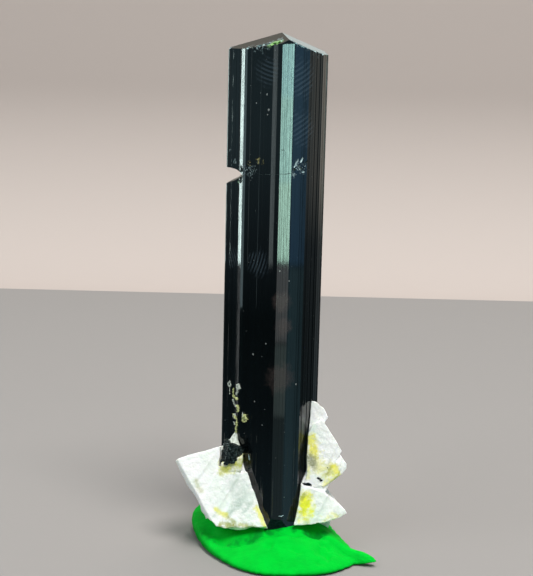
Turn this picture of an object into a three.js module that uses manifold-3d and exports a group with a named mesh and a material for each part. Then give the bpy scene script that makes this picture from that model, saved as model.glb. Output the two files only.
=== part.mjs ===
// A black tourmaline crystal grown on white feldspar, held upright in a lump of green modelling putty.
// Millimetres, +Z up. The origin is on the flat underside of the putty, below the crystal's axis.
// The front of the specimen faces -Y.
import * as THREE from 'three'
import { mergeVertices } from 'three/addons/utils/BufferGeometryUtils.js'
import Module from 'manifold-3d'

const wasm = await Module()
wasm.setup()

// Driving dimensions
const CLEARANCE = 0.3
const CRYSTAL_TOP = 66
const CRYSTAL_FOOT = 1.3
const LEDGE_PITCH = 0.62
const LEDGE_DEPTH = 0.1
const LEDGE_RISER = 0.07
const APEX = [0.35, -0.7, 62.55]
const POINT_SLOPE = 27.3
const POINT_AZIMUTHS = [-140, -18, 102]
const NOTCH_TIP_X = -4.12
const NOTCH_Z = 45.75
const FELDSPAR_FOOT = 1.7
const PUTTY_CROWN = 3.2

// The corners of the crystal's rounded three-sided cross-section, anticlockwise from its front edge
const CRYSTAL_CORNERS = [
  [0.42, -5.28], [2.13, -4.83], [3.86, -3.44], [5.29, -0.72], [5.99, 1.84], [5.66, 3.68],
  [4.35, 5.28], [3.2, 5.68], [-3.76, 4.0], [-5.15, 3.36], [-5.89, 2.08], [-5.97, 1.2],
  [-4.28, -1.2], [-3.93, -1.68], [-3.35, -2.28], [-0.58, -4.56], [-0.08, -4.88],
]

// Turning geometries into solids and back

const radians = (degrees) => THREE.MathUtils.degToRad(degrees)

function solidFrom(geometry) {
  const bare = geometry.index ? geometry.toNonIndexed() : geometry.clone()
  bare.deleteAttribute('normal')
  bare.deleteAttribute('uv')
  const merged = mergeVertices(bare, 1e-4)
  const mesh = new wasm.Mesh({
    numProp: 3,
    vertProperties: new Float32Array(merged.attributes.position.array),
    triVerts: new Uint32Array(merged.index.array),
  })
  return new wasm.Manifold(mesh)
}

function meshFrom(name, solid, material) {
  const { vertProperties, triVerts } = solid.getMesh()
  const geometry = new THREE.BufferGeometry()
  geometry.setAttribute('position', new THREE.BufferAttribute(Float32Array.from(vertProperties), 3))
  geometry.setIndex(new THREE.BufferAttribute(Uint32Array.from(triVerts), 1))
  const faceted = geometry.toNonIndexed()
  faceted.computeVertexNormals()
  const mesh = new THREE.Mesh(faceted, material)
  mesh.name = name
  return mesh
}

function extruded(points, height) {
  const shape = new THREE.Shape(points.map(([x, y]) => new THREE.Vector2(x, y)))
  return new THREE.ExtrudeGeometry(shape, { depth: height, bevelEnabled: false })
}

// What lies beyond a plane is cut away; the normal points towards what goes
function cutBeyond(solid, point, normal) {
  const size = 200
  const block = new THREE.BoxGeometry(size, size, size)
  block.translate(0, 0, size / 2)
  const up = new THREE.Vector3(0, 0, 1)
  const turn = new THREE.Quaternion().setFromUnitVectors(up, new THREE.Vector3(...normal).normalize())
  block.applyQuaternion(turn)
  block.translate(...point)
  return solid.subtract(solidFrom(block))
}

// Each side of a closed anticlockwise outline moved outwards by the same distance
function grownOutline(points, distance) {
  const sides = points.map(([x0, y0], index) => {
    const [x1, y1] = points[(index + 1) % points.length]
    const length = Math.hypot(x1 - x0, y1 - y0)
    const [ux, uy] = [(x1 - x0) / length, (y1 - y0) / length]
    return { x: x0 + uy * distance, y: y0 - ux * distance, ux, uy }
  })
  return sides.map((side, index) => {
    const before = sides[(index + sides.length - 1) % sides.length]
    const cross = before.ux * side.uy - before.uy * side.ux
    const along = ((side.x - before.x) * side.uy - (side.y - before.y) * side.ux) / cross
    return [before.x + before.ux * along, before.y + before.uy * along]
  })
}

// The tourmaline: a prism with growth ledges along it and a low three-sided point

// Growth ledges run along the crystal, so each side of its section is a flight of shallow steps
function steppedOutline(corners) {
  const points = []
  corners.forEach(([x0, y0], side) => {
    const [x1, y1] = corners[(side + 1) % corners.length]
    const length = Math.hypot(x1 - x0, y1 - y0)
    const [ux, uy] = [(x1 - x0) / length, (y1 - y0) / length]
    const treads = Math.floor(length / LEDGE_PITCH)
    let sunk = 0
    points.push([x0, y0])
    for (let tread = 1; tread < treads; tread += 1) {
      const shift = 0.3 * Math.sin(tread * 2.4 + side * 1.7)
      const along = (length * (tread + shift)) / treads
      const next = tread === treads - 1 ? 0 : LEDGE_DEPTH * (0.5 + 0.5 * Math.sin(tread * 4.1 + side * 2.3))
      points.push([x0 + ux * along - uy * sunk, y0 + uy * along + ux * sunk])
      points.push([x0 + ux * (along + LEDGE_RISER) - uy * next, y0 + uy * (along + LEDGE_RISER) + ux * next])
      sunk = next
    }
  })
  return points
}

function pointNormal(azimuth, slope) {
  const flat = Math.sin(radians(slope))
  return [flat * Math.cos(radians(azimuth)), flat * Math.sin(radians(azimuth)), Math.cos(radians(slope))]
}

// A broken-out chip leaves a dent the shape of a rough ball
function chipped(solid, [x, y, z], radius, turn) {
  const ball = new THREE.IcosahedronGeometry(radius, 1)
  ball.rotateX(turn)
  ball.rotateZ(turn * 2)
  ball.scale(1.3, 1.3, 0.8)
  ball.translate(x, y, z)
  return solid.subtract(solidFrom(ball))
}

// The wedge broken out of the left edge, as x and z, cut right through along Y
const NOTCH = [
  [-8, NOTCH_Z - 2.1], [-5.95, NOTCH_Z - 1.25], [-5.0, NOTCH_Z - 0.55], [NOTCH_TIP_X, NOTCH_Z],
  [-5.1, NOTCH_Z + 0.75], [-5.95, NOTCH_Z + 0.9], [-8, NOTCH_Z + 1.1],
]

// Chips on the edges: place, radius and turn
const CHIPS = [
  [[-1.6, -3.9, 60.75], 0.42, 0.4],
  [[-0.3, -4.95, 60.95], 0.55, 1.1],
  [[3.17, -4.2, 46.7], 0.6, 0.7],
  [[2.8, -4.75, 47.4], 0.4, 1.9],
  [[-2.4, -3.3, 47.1], 0.55, 2.3],
  [[5.75, 0.3, 48.1], 0.35, 0.2],
  [[-3.0, 4.4, 60.4], 0.5, 1.5],
  [[5.3, 4.2, 30.2], 0.5, 2.9],
]

function tourmalineCrystal() {
  const section = steppedOutline(CRYSTAL_CORNERS)
  let solid = solidFrom(extruded(section, CRYSTAL_TOP - CRYSTAL_FOOT).translate(0, 0, CRYSTAL_FOOT))
  for (const azimuth of POINT_AZIMUTHS) {
    solid = cutBeyond(solid, APEX, pointNormal(azimuth, POINT_SLOPE))
  }
  // Two narrow steeper faces cut the corners below the point
  solid = cutBeyond(solid, [1.2, -4.94, 61.0], pointNormal(-78, 62))
  solid = cutBeyond(solid, [-5.7, 1.8, 60.6], pointNormal(168, 60))
  // The front of the foot is broken off at a slant
  solid = cutBeyond(solid, [1.6, -5.15, 4.7], [0.17, -0.93, -0.33])

  const notch = extruded(NOTCH, 16)
  notch.rotateX(Math.PI / 2)
  notch.translate(0, 9, 0)
  solid = solid.subtract(solidFrom(notch))
  for (const [place, radius, turn] of CHIPS) {
    solid = chipped(solid, place, radius, turn)
  }
  return solid
}

// Feldspar blades: flat outlines with straight cleavage sides, drawn on their leaning front face.
// x runs right and v up the face; a blade's depth runs back from it.

const LEFT_FACE = { origin: [0, -5.7, 3], lean: 18 }
const RIGHT_FACE = { origin: [0, -4.6, 3], lean: 12 }

function blade(face, outline, front, back) {
  const geometry = extruded(outline, front - back)
  geometry.translate(0, 0, back)
  geometry.rotateX(Math.PI / 2 - radians(face.lean))
  geometry.translate(...face.origin)
  return solidFrom(geometry)
}

// A slanted cut along the front edge of a blade, between two points of its outline
function bevelled(solid, face, [x0, v0], [x1, v1], size) {
  const length = Math.hypot(x1 - x0, v1 - v0)
  const outward = new THREE.Vector3((v1 - v0) / length, -(x1 - x0) / length, 0)
  const normal = new THREE.Vector3(outward.x, outward.y, 1)
  const point = new THREE.Vector3(x0 - outward.x * size, v0 - outward.y * size, 0)
  const stand = new THREE.Euler(Math.PI / 2 - radians(face.lean), 0, 0)
  point.applyEuler(stand).add(new THREE.Vector3(...face.origin))
  return cutBeyond(solid, point.toArray(), normal.applyEuler(stand).toArray())
}

const LEFT_CONTACT = [[0.03, 0.3], [-3.98, 10.66]]
const LEFT_BLOCK = [
  [-1.1, 0.46], [0.03, 0.3], [-3.98, 10.66], [-5.88, 10.11], [-7.94, 9.45], [-9.58, 9.0], [-11.15, 8.45],
  [-11.42, 8.11], [-9.91, 5.29], [-8.44, 3.21], [-7.56, 1.67], [-6.12, 0.47], [-4.05, 0.06], [-2.66, 0.13],
]
const LEFT_REAR_BLADE = [
  [0.95, -2.2], [-2.3, 6.3], [-6.6, 7.4], [-9.2, 5.2], [-8.4, 2.4], [-9.3, -2.2],
]
// The ledge that the small crystal stands on
const LEFT_LEDGE = [[-2.4, 7.0], [-3.2, 12], [-6.0, 12], [-5.86, 7.68], [-5.29, 6.77]]

// Corners broken off behind: a point on each break and the way it faces
const LEFT_BREAKS = [
  [[-9.6, 1.2, 9.4], [-0.55, 0.6, 0.6]],
  [[-8.3, 3.6, 4.6], [-0.8, 0.55, 0.1]],
  [[-4.6, 4.4, 6.3], [-0.15, 0.8, 0.6]],
  [[-10.4, -1.2, 7.4], [-0.9, 0.1, -0.45]],
]
const RIGHT_BREAKS = [
  [[6.6, 3.2, 14.6], [0.3, 0.85, 0.45]],
  [[8.6, 2.6, 9.2], [0.6, 0.75, 0.3]],
  [[7.6, 4.9, 4.6], [0.5, 0.8, 0.35]],
  [[9.2, -0.6, 8.0], [0.9, 0.35, -0.25]],
]

// A break in a grown copy lies further out by the same distance
function brokenOff(solid, breaks, grow) {
  return breaks.reduce((rest, [point, facing]) => {
    const away = new THREE.Vector3(...facing).normalize().multiplyScalar(grow)
    return cutBeyond(rest, away.add(new THREE.Vector3(...point)).toArray(), facing)
  }, solid)
}

function feldsparLeft(grow) {
  let solid = blade(LEFT_FACE, grownOutline(LEFT_BLOCK, grow), grow, -5.6 - grow)
  if (grow === 0) {
    solid = solid.subtract(blade(LEFT_FACE, LEFT_LEDGE, 1, -0.8))
    solid = bevelled(solid, LEFT_FACE, LEFT_BLOCK[7], LEFT_BLOCK[9], 0.35)
    solid = bevelled(solid, LEFT_FACE, LEFT_BLOCK[12], LEFT_BLOCK[13], 0.3)
  }
  solid = solid.add(blade(LEFT_FACE, grownOutline(LEFT_REAR_BLADE, grow), -5.0 + grow, -8.6 - grow))
  solid = brokenOff(solid, LEFT_BREAKS, grow)
  return cutBeyond(solid, [0, 0, FELDSPAR_FOOT - grow], [0, 0, -1])
}

const RIGHT_CONTACT = [[3.32, 0.42], [3.83, 3.1], [4.06, 5.39], [4.74, 7.02], [4.7, 8.85], [4.82, 11.67], [5.07, 15.6]]
const RIGHT_BLADES = [
  {
    front: -0.45, back: -6.2,
    outline: [[4.76, 10.4], [6.4, 10.6], [7.5, 11.6], [6.78, 12.94], [7.25, 13.59], [6.74, 14.66], [5.9, 15.45],
      [5.07, 15.6], [4.82, 11.67]],
  },
  {
    front: 0, back: -7.6,
    outline: [[4.74, 7.02], [7.2, 6.6], [8.81, 9.08], [9.09, 9.55], [6.5, 13.35], [5.3, 12.7], [4.82, 11.67],
      [4.7, 8.85]],
  },
  {
    front: -0.3, back: -8.4,
    outline: [[4.06, 4.2], [6.85, 4.0], [7.53, 5.47], [9.09, 6.68], [9.62, 7.34], [9.61, 7.97], [8.81, 9.08],
      [6.2, 9.4], [4.74, 7.6], [4.74, 7.02], [4.06, 5.39]],
  },
  {
    front: 0.25, back: -7.2,
    outline: [[3.32, 0.42], [4.66, 0.45], [6.94, 0.81], [9.03, 1.55], [9.96, 2.04], [6.85, 4.59], [4.06, 5.39],
      [3.83, 3.1]],
  },
  {
    front: -3.4, back: -9.4, topBreak: [[5.9, 5.7, 5.4], [0.05, 0.8, 0.6]],
    outline: [[2.9, -1.8], [8.3, -1.8], [9.0, 2.6], [7.4, 4.6], [8.2, 6.8], [6.3, 9.2], [4.72, 8.2], [4.06, 5.39],
      [3.83, 3.1], [3.32, 0.42]],
  },
]

function feldsparRight(grow) {
  const blades = RIGHT_BLADES.map(({ front, back, outline, topBreak }) => {
    const whole = blade(RIGHT_FACE, grownOutline(outline, grow), front + grow, back - grow)
    return topBreak ? brokenOff(whole, [topBreak], grow) : whole
  })
  const joined = brokenOff(blades.reduce((whole, next) => whole.add(next)), RIGHT_BREAKS, grow)
  return cutBeyond(joined, [0, 0, FELDSPAR_FOOT - grow], [0, 0, -1])
}

// Below the blades the two contact faces run on down to the crystal's foot and wedge it
function contactCut(face, [[x0, v0], [x1, v1]], side, grow) {
  const low = v0 - 5
  const lowX = x0 + ((x1 - x0) * (low - v0)) / (v1 - v0)
  const far = side * 20
  const corners = side < 0
    ? [[far, low], [lowX, low], [x0, v0], [far, v0]]
    : [[lowX, low], [far, low], [far, v0], [x0, v0]]
  return blade(face, grownOutline(corners, grow), 12, -22)
}

// The space that the lower crystal fills, with room around it
function crystalFoot(grow, low, high) {
  const outline = grownOutline(CRYSTAL_CORNERS, grow)
  return solidFrom(extruded(outline, high - low).translate(0, 0, low))
}

// The small broken tourmaline that stands on the ledge of the left block

const STUB = { x: -4.55, y: -3.0, z: 10.2, height: 3.2, lean: 9 }

function smallTourmaline(grow) {
  const radii = [1.42, 1.3, 1.45, 1.25, 1.4, 1.28, 1.46, 1.3, 1.36]
  const outline = radii.map((radius, index) => {
    const angle = (index / radii.length) * 2 * Math.PI
    return [(radius + grow) * Math.cos(angle), (radius + grow) * Math.sin(angle) * 0.92]
  })
  const geometry = extruded(outline, STUB.height + 2 * grow)
  geometry.translate(0, 0, -grow)
  geometry.rotateY(radians(STUB.lean))
  geometry.rotateX(radians(-STUB.lean))
  geometry.translate(STUB.x, STUB.y, STUB.z)
  let solid = solidFrom(geometry)
  if (grow === 0) {
    // Its top is broken to two slanting faces
    solid = cutBeyond(solid, [STUB.x - 0.5, STUB.y - 0.4, STUB.z + STUB.height - 0.4], [-0.5, -0.35, 1])
    solid = cutBeyond(solid, [STUB.x + 0.6, STUB.y, STUB.z + STUB.height - 0.45], [0.45, 0.1, 1])
  }
  return solid
}

// A trail of pale crumbs lies against the left faces, above the small crystal

const CRUMB_TRAIL = [
  { x: -5.0, z: 19.9, radius: 0.34 }, { x: -4.5, z: 19.0, radius: 0.3 }, { x: -3.95, z: 19.85, radius: 0.36 },
  { x: -4.0, z: 19.2, radius: 0.32 }, { x: -4.26, z: 18.3, radius: 0.38 }, { x: -4.4, z: 17.4, radius: 0.32 },
  { x: -3.9, z: 17.2, radius: 0.34 }, { x: -3.1, z: 16.2, radius: 0.45 }, { x: -4.25, z: 16.0, radius: 0.38 },
  { x: -4.2, z: 15.3, radius: 0.27 }, { x: -4.2, z: 14.7, radius: 0.27 }, { x: -4.4, z: 14.1, radius: 0.45 },
]

const LINK_PITCH = 0.42

// Where the front left side of the crystal lies at a given x
function frontLeftSide(x) {
  const corners = CRYSTAL_CORNERS.slice(11, 16)
  const end = corners.findIndex(([cornerX]) => cornerX > x)
  const [x0, y0] = corners[end - 1]
  const [x1, y1] = corners[end]
  return y0 + ((y1 - y0) * (x - x0)) / (x1 - x0)
}

function feldsparCrumbs() {
  const away = [-0.78, -0.62]
  const places = CRUMB_TRAIL.map(({ x, z, radius }) => {
    const gap = CLEARANCE + radius
    return { place: new THREE.Vector3(x + away[0] * gap, frontLeftSide(x) + away[1] * gap, z), radius }
  })
  // Smaller crumbs between each two neighbours join them
  const links = places.slice(1).flatMap(({ place, radius }, index) => {
    const before = places[index]
    const count = Math.max(1, Math.round(place.distanceTo(before.place) / LINK_PITCH) - 1)
    return Array.from({ length: count }, (_, step) => ({
      place: place.clone().lerp(before.place, (step + 1) / (count + 1)),
      radius: 0.8 * Math.min(radius, before.radius) + 0.08,
    }))
  })
  const lumps = [...places, ...links].map(({ place, radius }, index) => {
    const lump = new THREE.IcosahedronGeometry(radius, 0)
    lump.rotateX(index * 1.3)
    lump.rotateY(index * 0.7)
    lump.translate(place.x, place.y, place.z)
    return solidFrom(lump)
  })
  const clear = crystalFoot(CLEARANCE, 0, 30)
  return lumps.reduce((whole, next) => whole.add(next)).subtract(clear)
}

// The putty: a ball pressed flat by hand, with a pulled-out tip at the right and dents left by fingers

const PUTTY_CENTRE = [1.0, -1.6]
const PUTTY_OUTLINE = [
  [-9.65, 2.6], [-9.0, -1.5], [-7.5, -5.4], [-5.2, -8.9], [-3.05, -11.0], [-0.5, -12.3], [3.3, -12.4],
  [7.3, -11.5], [9.3, -10.0], [10.75, -8.55], [11.6, -8.75], [12.9, -8.85], [13.2, -8.35], [12.3, -7.5],
  [11.5, -6.2], [10.5, -4.3], [9.4, -2.0], [8.2, 0.4], [7.0, 3.7], [5.6, 7.2], [2.9, 9.3],
  [-1.4, 9.9], [-5.6, 8.7], [-8.5, 6.0],
]
// From the middle of the underside out to the rim and back over the top: share of the radius and of the height
const PUTTY_PROFILE = [
  [0, 0], [0.62, 0], [0.93, 0], [0.985, 0.28], [1, 0.62], [0.975, 1], [0.86, 1], [0.7, 1], [0.52, 1], [0.34, 1],
  [0.16, 1], [0, 1],
]
const PUTTY_COLUMNS = 48
const DENTS = [
  { x: -6.6, y: -4.2, radius: 1.2, depth: 0.5 },
  { x: -4.9, y: -6.1, radius: 1.2, depth: 0.6 },
  { x: -2.9, y: -6.7, radius: 1.2, depth: 0.7 },
  { x: -0.4, y: -5.9, radius: 1.1, depth: 0.5 },
  { x: 5.9, y: -4.5, radius: 1.1, depth: 0.9 },
  { x: 7.0, y: -8.7, radius: 0.9, depth: 0.35 },
  { x: 9.6, y: -7.0, radius: 1.3, depth: 0.25 },
  { x: -4.6, y: 7.2, radius: 1.8, depth: 0.6 },
  { x: 3.6, y: 6.9, radius: 1.7, depth: 0.5 },
]

// The rim is thin in front, where the putty is spread, and thick at the left and the back
function rimHeight(x, y) {
  const back = THREE.MathUtils.smoothstep(y, -13, 5)
  const tip = THREE.MathUtils.smoothstep(x, 6, 13)
  return THREE.MathUtils.lerp(0.6 + 1.7 * back, 0.85, tip)
}

function putty() {
  const rim = new THREE.CatmullRomCurve3(
    PUTTY_OUTLINE.map(([x, y]) => new THREE.Vector3(x, y, 0)), true, 'centripetal')
  const profile = PUTTY_PROFILE.map(([radius, height]) => new THREE.Vector2(radius, height))
  const geometry = new THREE.LatheGeometry(profile, PUTTY_COLUMNS)
  const position = geometry.attributes.position
  const rimPoint = new THREE.Vector3()
  for (let index = 0; index < position.count; index += 1) {
    const column = Math.floor(index / profile.length) % PUTTY_COLUMNS
    const [share, height] = PUTTY_PROFILE[index % profile.length]
    rim.getPoint(column / PUTTY_COLUMNS, rimPoint)
    const x = PUTTY_CENTRE[0] + share * (rimPoint.x - PUTTY_CENTRE[0])
    const y = PUTTY_CENTRE[1] + share * (rimPoint.y - PUTTY_CENTRE[1])
    const edge = rimHeight(rimPoint.x, rimPoint.y)
    const inner = 1 - share ** 2.6
    let top = edge + (PUTTY_CROWN - edge) * inner
    for (const dent of DENTS) {
      const distance = Math.hypot(x - dent.x, y - dent.y) / dent.radius
      top -= dent.depth * Math.exp(-distance * distance) * Math.min(1, inner * 3)
    }
    position.setXYZ(index, x, y, height * top)
  }
  return solidFrom(geometry)
}

// The pieces, each cut clear of its neighbours

const leftBlock = feldsparLeft(0).subtract(smallTourmaline(CLEARANCE))
const rightBlades = feldsparRight(0)
const stub = smallTourmaline(0)

const crystal = tourmalineCrystal()
  .subtract(feldsparLeft(CLEARANCE))
  .subtract(feldsparRight(CLEARANCE))
  .subtract(contactCut(LEFT_FACE, LEFT_CONTACT, -1, CLEARANCE))
  .subtract(contactCut(RIGHT_FACE, RIGHT_CONTACT, 1, CLEARANCE))
  .subtract(smallTourmaline(CLEARANCE))

const socket = crystalFoot(CLEARANCE, CRYSTAL_FOOT - CLEARANCE, 8)
  .subtract(contactCut(LEFT_FACE, LEFT_CONTACT, -1, 0))
  .subtract(contactCut(RIGHT_FACE, RIGHT_CONTACT, 1, 0))
const pressedPutty = putty()
  .subtract(socket)
  .subtract(feldsparLeft(CLEARANCE))
  .subtract(feldsparRight(CLEARANCE))

const pieces = [
  ['tourmaline_crystal', crystal],
  ['small_tourmaline', stub],
  ['feldspar_left', leftBlock],
  ['feldspar_right', rightBlades],
  ['feldspar_crumbs', feldsparCrumbs()],
  ['putty', pressedPutty],
]

const materials = {
  tourmaline_crystal: new THREE.MeshStandardMaterial({ color: 0x0a1413, roughness: 0.12, metalness: 0 }),
  small_tourmaline: new THREE.MeshStandardMaterial({ color: 0x0c1113, roughness: 0.3, metalness: 0 }),
  feldspar_left: new THREE.MeshStandardMaterial({ color: 0xe6ece4, roughness: 0.6, metalness: 0 }),
  feldspar_right: new THREE.MeshStandardMaterial({ color: 0xefeedd, roughness: 0.6, metalness: 0 }),
  feldspar_crumbs: new THREE.MeshStandardMaterial({ color: 0xd2d2b4, roughness: 0.8, metalness: 0 }),
  putty: new THREE.MeshStandardMaterial({ color: 0x12c81e, roughness: 0.5, metalness: 0 }),
}

const specimen = new THREE.Group()
for (const [name, solid] of pieces) {
  specimen.add(meshFrom(name, solid, materials[name]))
}

export default specimen
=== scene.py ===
import math
import random

import bmesh
import bpy
from mathutils import Euler, Matrix, Quaternion, Vector, noise


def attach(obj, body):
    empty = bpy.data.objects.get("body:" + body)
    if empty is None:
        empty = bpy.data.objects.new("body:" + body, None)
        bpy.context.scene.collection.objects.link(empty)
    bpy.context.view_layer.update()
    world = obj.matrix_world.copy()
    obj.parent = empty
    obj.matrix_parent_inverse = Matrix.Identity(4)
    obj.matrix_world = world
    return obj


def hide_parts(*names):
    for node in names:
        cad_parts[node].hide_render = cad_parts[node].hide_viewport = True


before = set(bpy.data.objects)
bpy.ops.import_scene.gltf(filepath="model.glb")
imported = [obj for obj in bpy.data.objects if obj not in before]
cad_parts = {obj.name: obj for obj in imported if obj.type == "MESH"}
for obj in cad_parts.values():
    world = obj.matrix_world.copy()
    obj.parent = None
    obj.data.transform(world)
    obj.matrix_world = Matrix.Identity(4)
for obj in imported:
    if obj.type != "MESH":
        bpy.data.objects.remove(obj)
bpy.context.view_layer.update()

# Camera: in front of the specimen and a little above its middle, looking slightly down and
# held not quite level, as the picture was taken.

MM = 0.001
FOCAL_LENGTH = 69.44
CAMERA_PLACE = Vector((-0.76, -134.25, 53.75)) * MM
LOOK_DOWN = math.radians(9.2)
CAMERA_ROLL = math.radians(1.4)


def linked(name, data):
    piece = bpy.data.objects.new(name, data)
    bpy.context.scene.collection.objects.link(piece)
    return piece


camera = linked("camera", bpy.data.cameras.new("camera"))
camera.data.lens = FOCAL_LENGTH
camera.data.clip_start = 5 * MM
camera.data.clip_end = 20
camera.location = CAMERA_PLACE
camera.rotation_mode = "QUATERNION"
level_turn = Euler((math.pi / 2 - LOOK_DOWN, 0, 0)).to_quaternion()
camera.rotation_quaternion = level_turn @ Quaternion((0, 0, 1), CAMERA_ROLL)
bpy.context.scene.camera = camera
bpy.context.scene.view_settings.view_transform = "Standard"


# Stage: a pale table that ends some way behind the specimen, and a pale wall that sweeps up behind it.
# Both keep out of mirror reflections, so that the black faces mirror only the panels and the room.

TABLE_HALF_WIDTH = 800 * MM
WALL_HALF_WIDTH = 460 * MM
TABLE_BACK = 185 * MM
TABLE_FRONT = -800 * MM
SWEEP_RADIUS = 60 * MM
WALL_HEIGHT = 900 * MM
TABLE_COLOUR = (0.275, 0.260, 0.251, 1)
WALL_COLOUR = (0.46, 0.40, 0.37, 1)


def mesh_object(name, bm, material, smooth=False):
    mesh = bpy.data.meshes.new(name)
    bm.to_mesh(mesh)
    bm.free()
    for polygon in mesh.polygons:
        polygon.use_smooth = smooth
    mesh.materials.append(material)
    return linked(name, mesh)


def new_material(name):
    material = bpy.data.materials.new(name)
    material.use_nodes = True
    tree = material.node_tree
    return material, tree, tree.nodes["Principled BSDF"]


def set_values(node, values):
    for name, value in values.items():
        node.inputs[name].default_value = value


def matte_stage(name, colour):
    material, _, shader = new_material(name)
    set_values(shader, {"Base Color": colour, "Roughness": 1.0, "Specular IOR Level": 0.05})
    return material


bm = bmesh.new()
corners = [(-1, TABLE_FRONT), (1, TABLE_FRONT), (1, TABLE_BACK), (-1, TABLE_BACK)]
bm.faces.new([bm.verts.new((side * TABLE_HALF_WIDTH, y, 0)) for side, y in corners])
table = mesh_object("table", bm, matte_stage("pale_table", TABLE_COLOUR))
table.visible_glossy = False

bm = bmesh.new()
start = [bm.verts.new((side * WALL_HALF_WIDTH, TABLE_BACK, 0)) for side in (-1, 1)]
edge = bm.edges.new(start)
swept = bmesh.ops.spin(bm, geom=[edge, *start], cent=(0, TABLE_BACK, SWEEP_RADIUS), axis=(1, 0, 0),
                       angle=math.pi / 2, steps=24)
last = [item for item in swept["geom_last"] if isinstance(item, bmesh.types.BMEdge)]
raised = bmesh.ops.extrude_edge_only(bm, edges=last)
top = [item for item in raised["geom"] if isinstance(item, bmesh.types.BMVert)]
bmesh.ops.translate(bm, verts=top, vec=(0, 0, WALL_HEIGHT))
wall = mesh_object("wall", bm, matte_stage("pale_wall", WALL_COLOUR), smooth=True)
wall.visible_glossy = False


# Light: large soft boxes high above, which only light the scene, and narrow upright panels at the
# crystal's own height, which only its polished faces mirror, as bright bands.

WORLD_BEHIND = (0.50, 0.48, 0.46, 1)
# The room in front and behind, as (sine of the elevation, colour) from low to high
ROOM_FRONT = [
    (-0.36, (0.065, 0.11, 0.13, 1)), (-0.27, (0.03, 0.045, 0.05, 1)), (-0.19, (0.02, 0.03, 0.032, 1)),
    (-0.12, (0.06, 0.085, 0.10, 1)), (-0.02, (0.13, 0.21, 0.24, 1)),
]
ROOM_BACK = [(-0.30, (0.05, 0.07, 0.08, 1)), (-0.12, (0.08, 0.09, 0.09, 1)), (-0.06, (0.38, 0.36, 0.31, 1))]
LIT_POINT = Vector((0, 0, 25))
PANEL_DISTANCE = 110
# The room's front goes over into its back between these two, as how far +Y the view turns
FRONT_TILL = 0.40
BACK_FROM = 0.65


def area_light(name, width, height, place, away, watts, colour):
    """A light of that width and height, at a place in mm, that shines back along the way it stands off."""
    data = bpy.data.lights.new(name, "AREA")
    data.shape = "RECTANGLE"
    data.size = width * MM
    data.size_y = height * MM
    data.energy = watts
    data.color = colour
    lamp = linked(name, data)
    lamp.location = place * MM
    lamp.rotation_mode = "QUATERNION"
    lamp.rotation_quaternion = (-away).to_track_quat("-Z", "Y")
    lamp.visible_camera = False
    return lamp


def soft_box(name, azimuth, elevation, distance, size, watts, colour):
    a, e = math.radians(azimuth), math.radians(elevation)
    away = Vector((math.cos(a) * math.cos(e), math.sin(a) * math.cos(e), math.sin(e)))
    lamp = area_light(name, size, size, LIT_POINT + away * distance, away, watts, colour)
    lamp.visible_glossy = False


def upright_panel(name, place, azimuth, low, high, width, radiance, colour, nearer=0.0):
    """The place is where the mirrored face is, and the panel stands away from it at that azimuth."""
    a = math.radians(azimuth)
    away = Vector((math.cos(a), math.sin(a), 0))
    middle = Vector((place[0], place[1], (low + high) / 2)) + away * (PANEL_DISTANCE - nearer)
    height = high - low
    watts = radiance * math.pi * width * MM * height * MM
    lamp = area_light(name, width, height, middle, away, watts, colour)
    lamp.visible_diffuse = False


soft_box("key_box", azimuth=-56, elevation=64, distance=1000, size=420, watts=11.5, colour=(1, 0.98, 0.95))
soft_box("fill_box", azimuth=-150, elevation=42, distance=1000, size=600, watts=2.6, colour=(0.95, 0.98, 1))
soft_box("back_box", azimuth=76, elevation=80, distance=850, size=300, watts=3.2, colour=(1, 0.99, 0.97))
# Where the faces are that mirror the panels, as x and y
BAND_FACE = (1.2, -5.05)
BAND_AZIMUTH = -59.1
LEFT_LINE_FACE = (-4.1, -1.44)
RIGHT_FACE = (2.7, -4.3)
BACK_FACE = (-0.3, 4.8)
# Each panel: name, the face that mirrors it, azimuth, lowest and highest height, width, radiance and colour,
# and for one of them how much nearer it stands. The first seven make the bright band down the front.
PANELS = [
    ("bright_band_top", BAND_FACE, BAND_AZIMUTH, 56, 92, 17, 4.6, (0.49, 0.98, 1)),
    ("bright_band_middle", BAND_FACE, BAND_AZIMUTH, 38, 56, 17, 4.6, (0.54, 1, 0.90)),
    ("bright_band_low", BAND_FACE, BAND_AZIMUTH, 21, 38, 17, 4.9, (0.60, 1, 0.78)),
    ("bright_band_core", BAND_FACE, -59.6, 21, 92, 2.8, 9.0, (0.62, 1, 0.84), 2),
    ("dim_band_middle", BAND_FACE, BAND_AZIMUTH, 3, 20.5, 17, 0.75, (0.95, 1, 1)),
    ("dim_band_low", BAND_FACE, BAND_AZIMUTH, -14, 2.5, 17, 0.55, (0.75, 1, 0.95)),
    ("dim_band_foot", BAND_FACE, BAND_AZIMUTH, -60, -14.5, 17, 0.18, (0.7, 1, 1)),
    ("left_line", LEFT_LINE_FACE, 169.0, 20, 92, 8, 24, (0.80, 1, 0.96)),
    ("left_line_low", LEFT_LINE_FACE, 169.0, -60, 19.5, 6.5, 1.6, (0.95, 1, 1)),
    ("left_grey_line", (-3.8, -1.82), 177.0, 10, 92, 7, 1.1, (0.70, 0.95, 1)),
    ("left_front_glow", (-0.3, -4.7), -157.4, 20, 92, 12, 1.2, (0.85, 1, 1)),
    ("right_blue_glow", RIGHT_FACE, -21.2, 20, 92, 16, 0.62, (0.22, 0.58, 1)),
    ("right_blue_low", RIGHT_FACE, -21.2, -60, 19.5, 16, 0.35, (0.42, 0.85, 1)),
    ("behind_band", BACK_FACE, 82, -60, 92, 26, 0.5, (0.75, 0.95, 1)),
    ("behind_line", BACK_FACE, 94, -60, 92, 5, 2.2, (0.8, 1, 0.95)),
]
for panel in PANELS:
    upright_panel(*panel)

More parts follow.
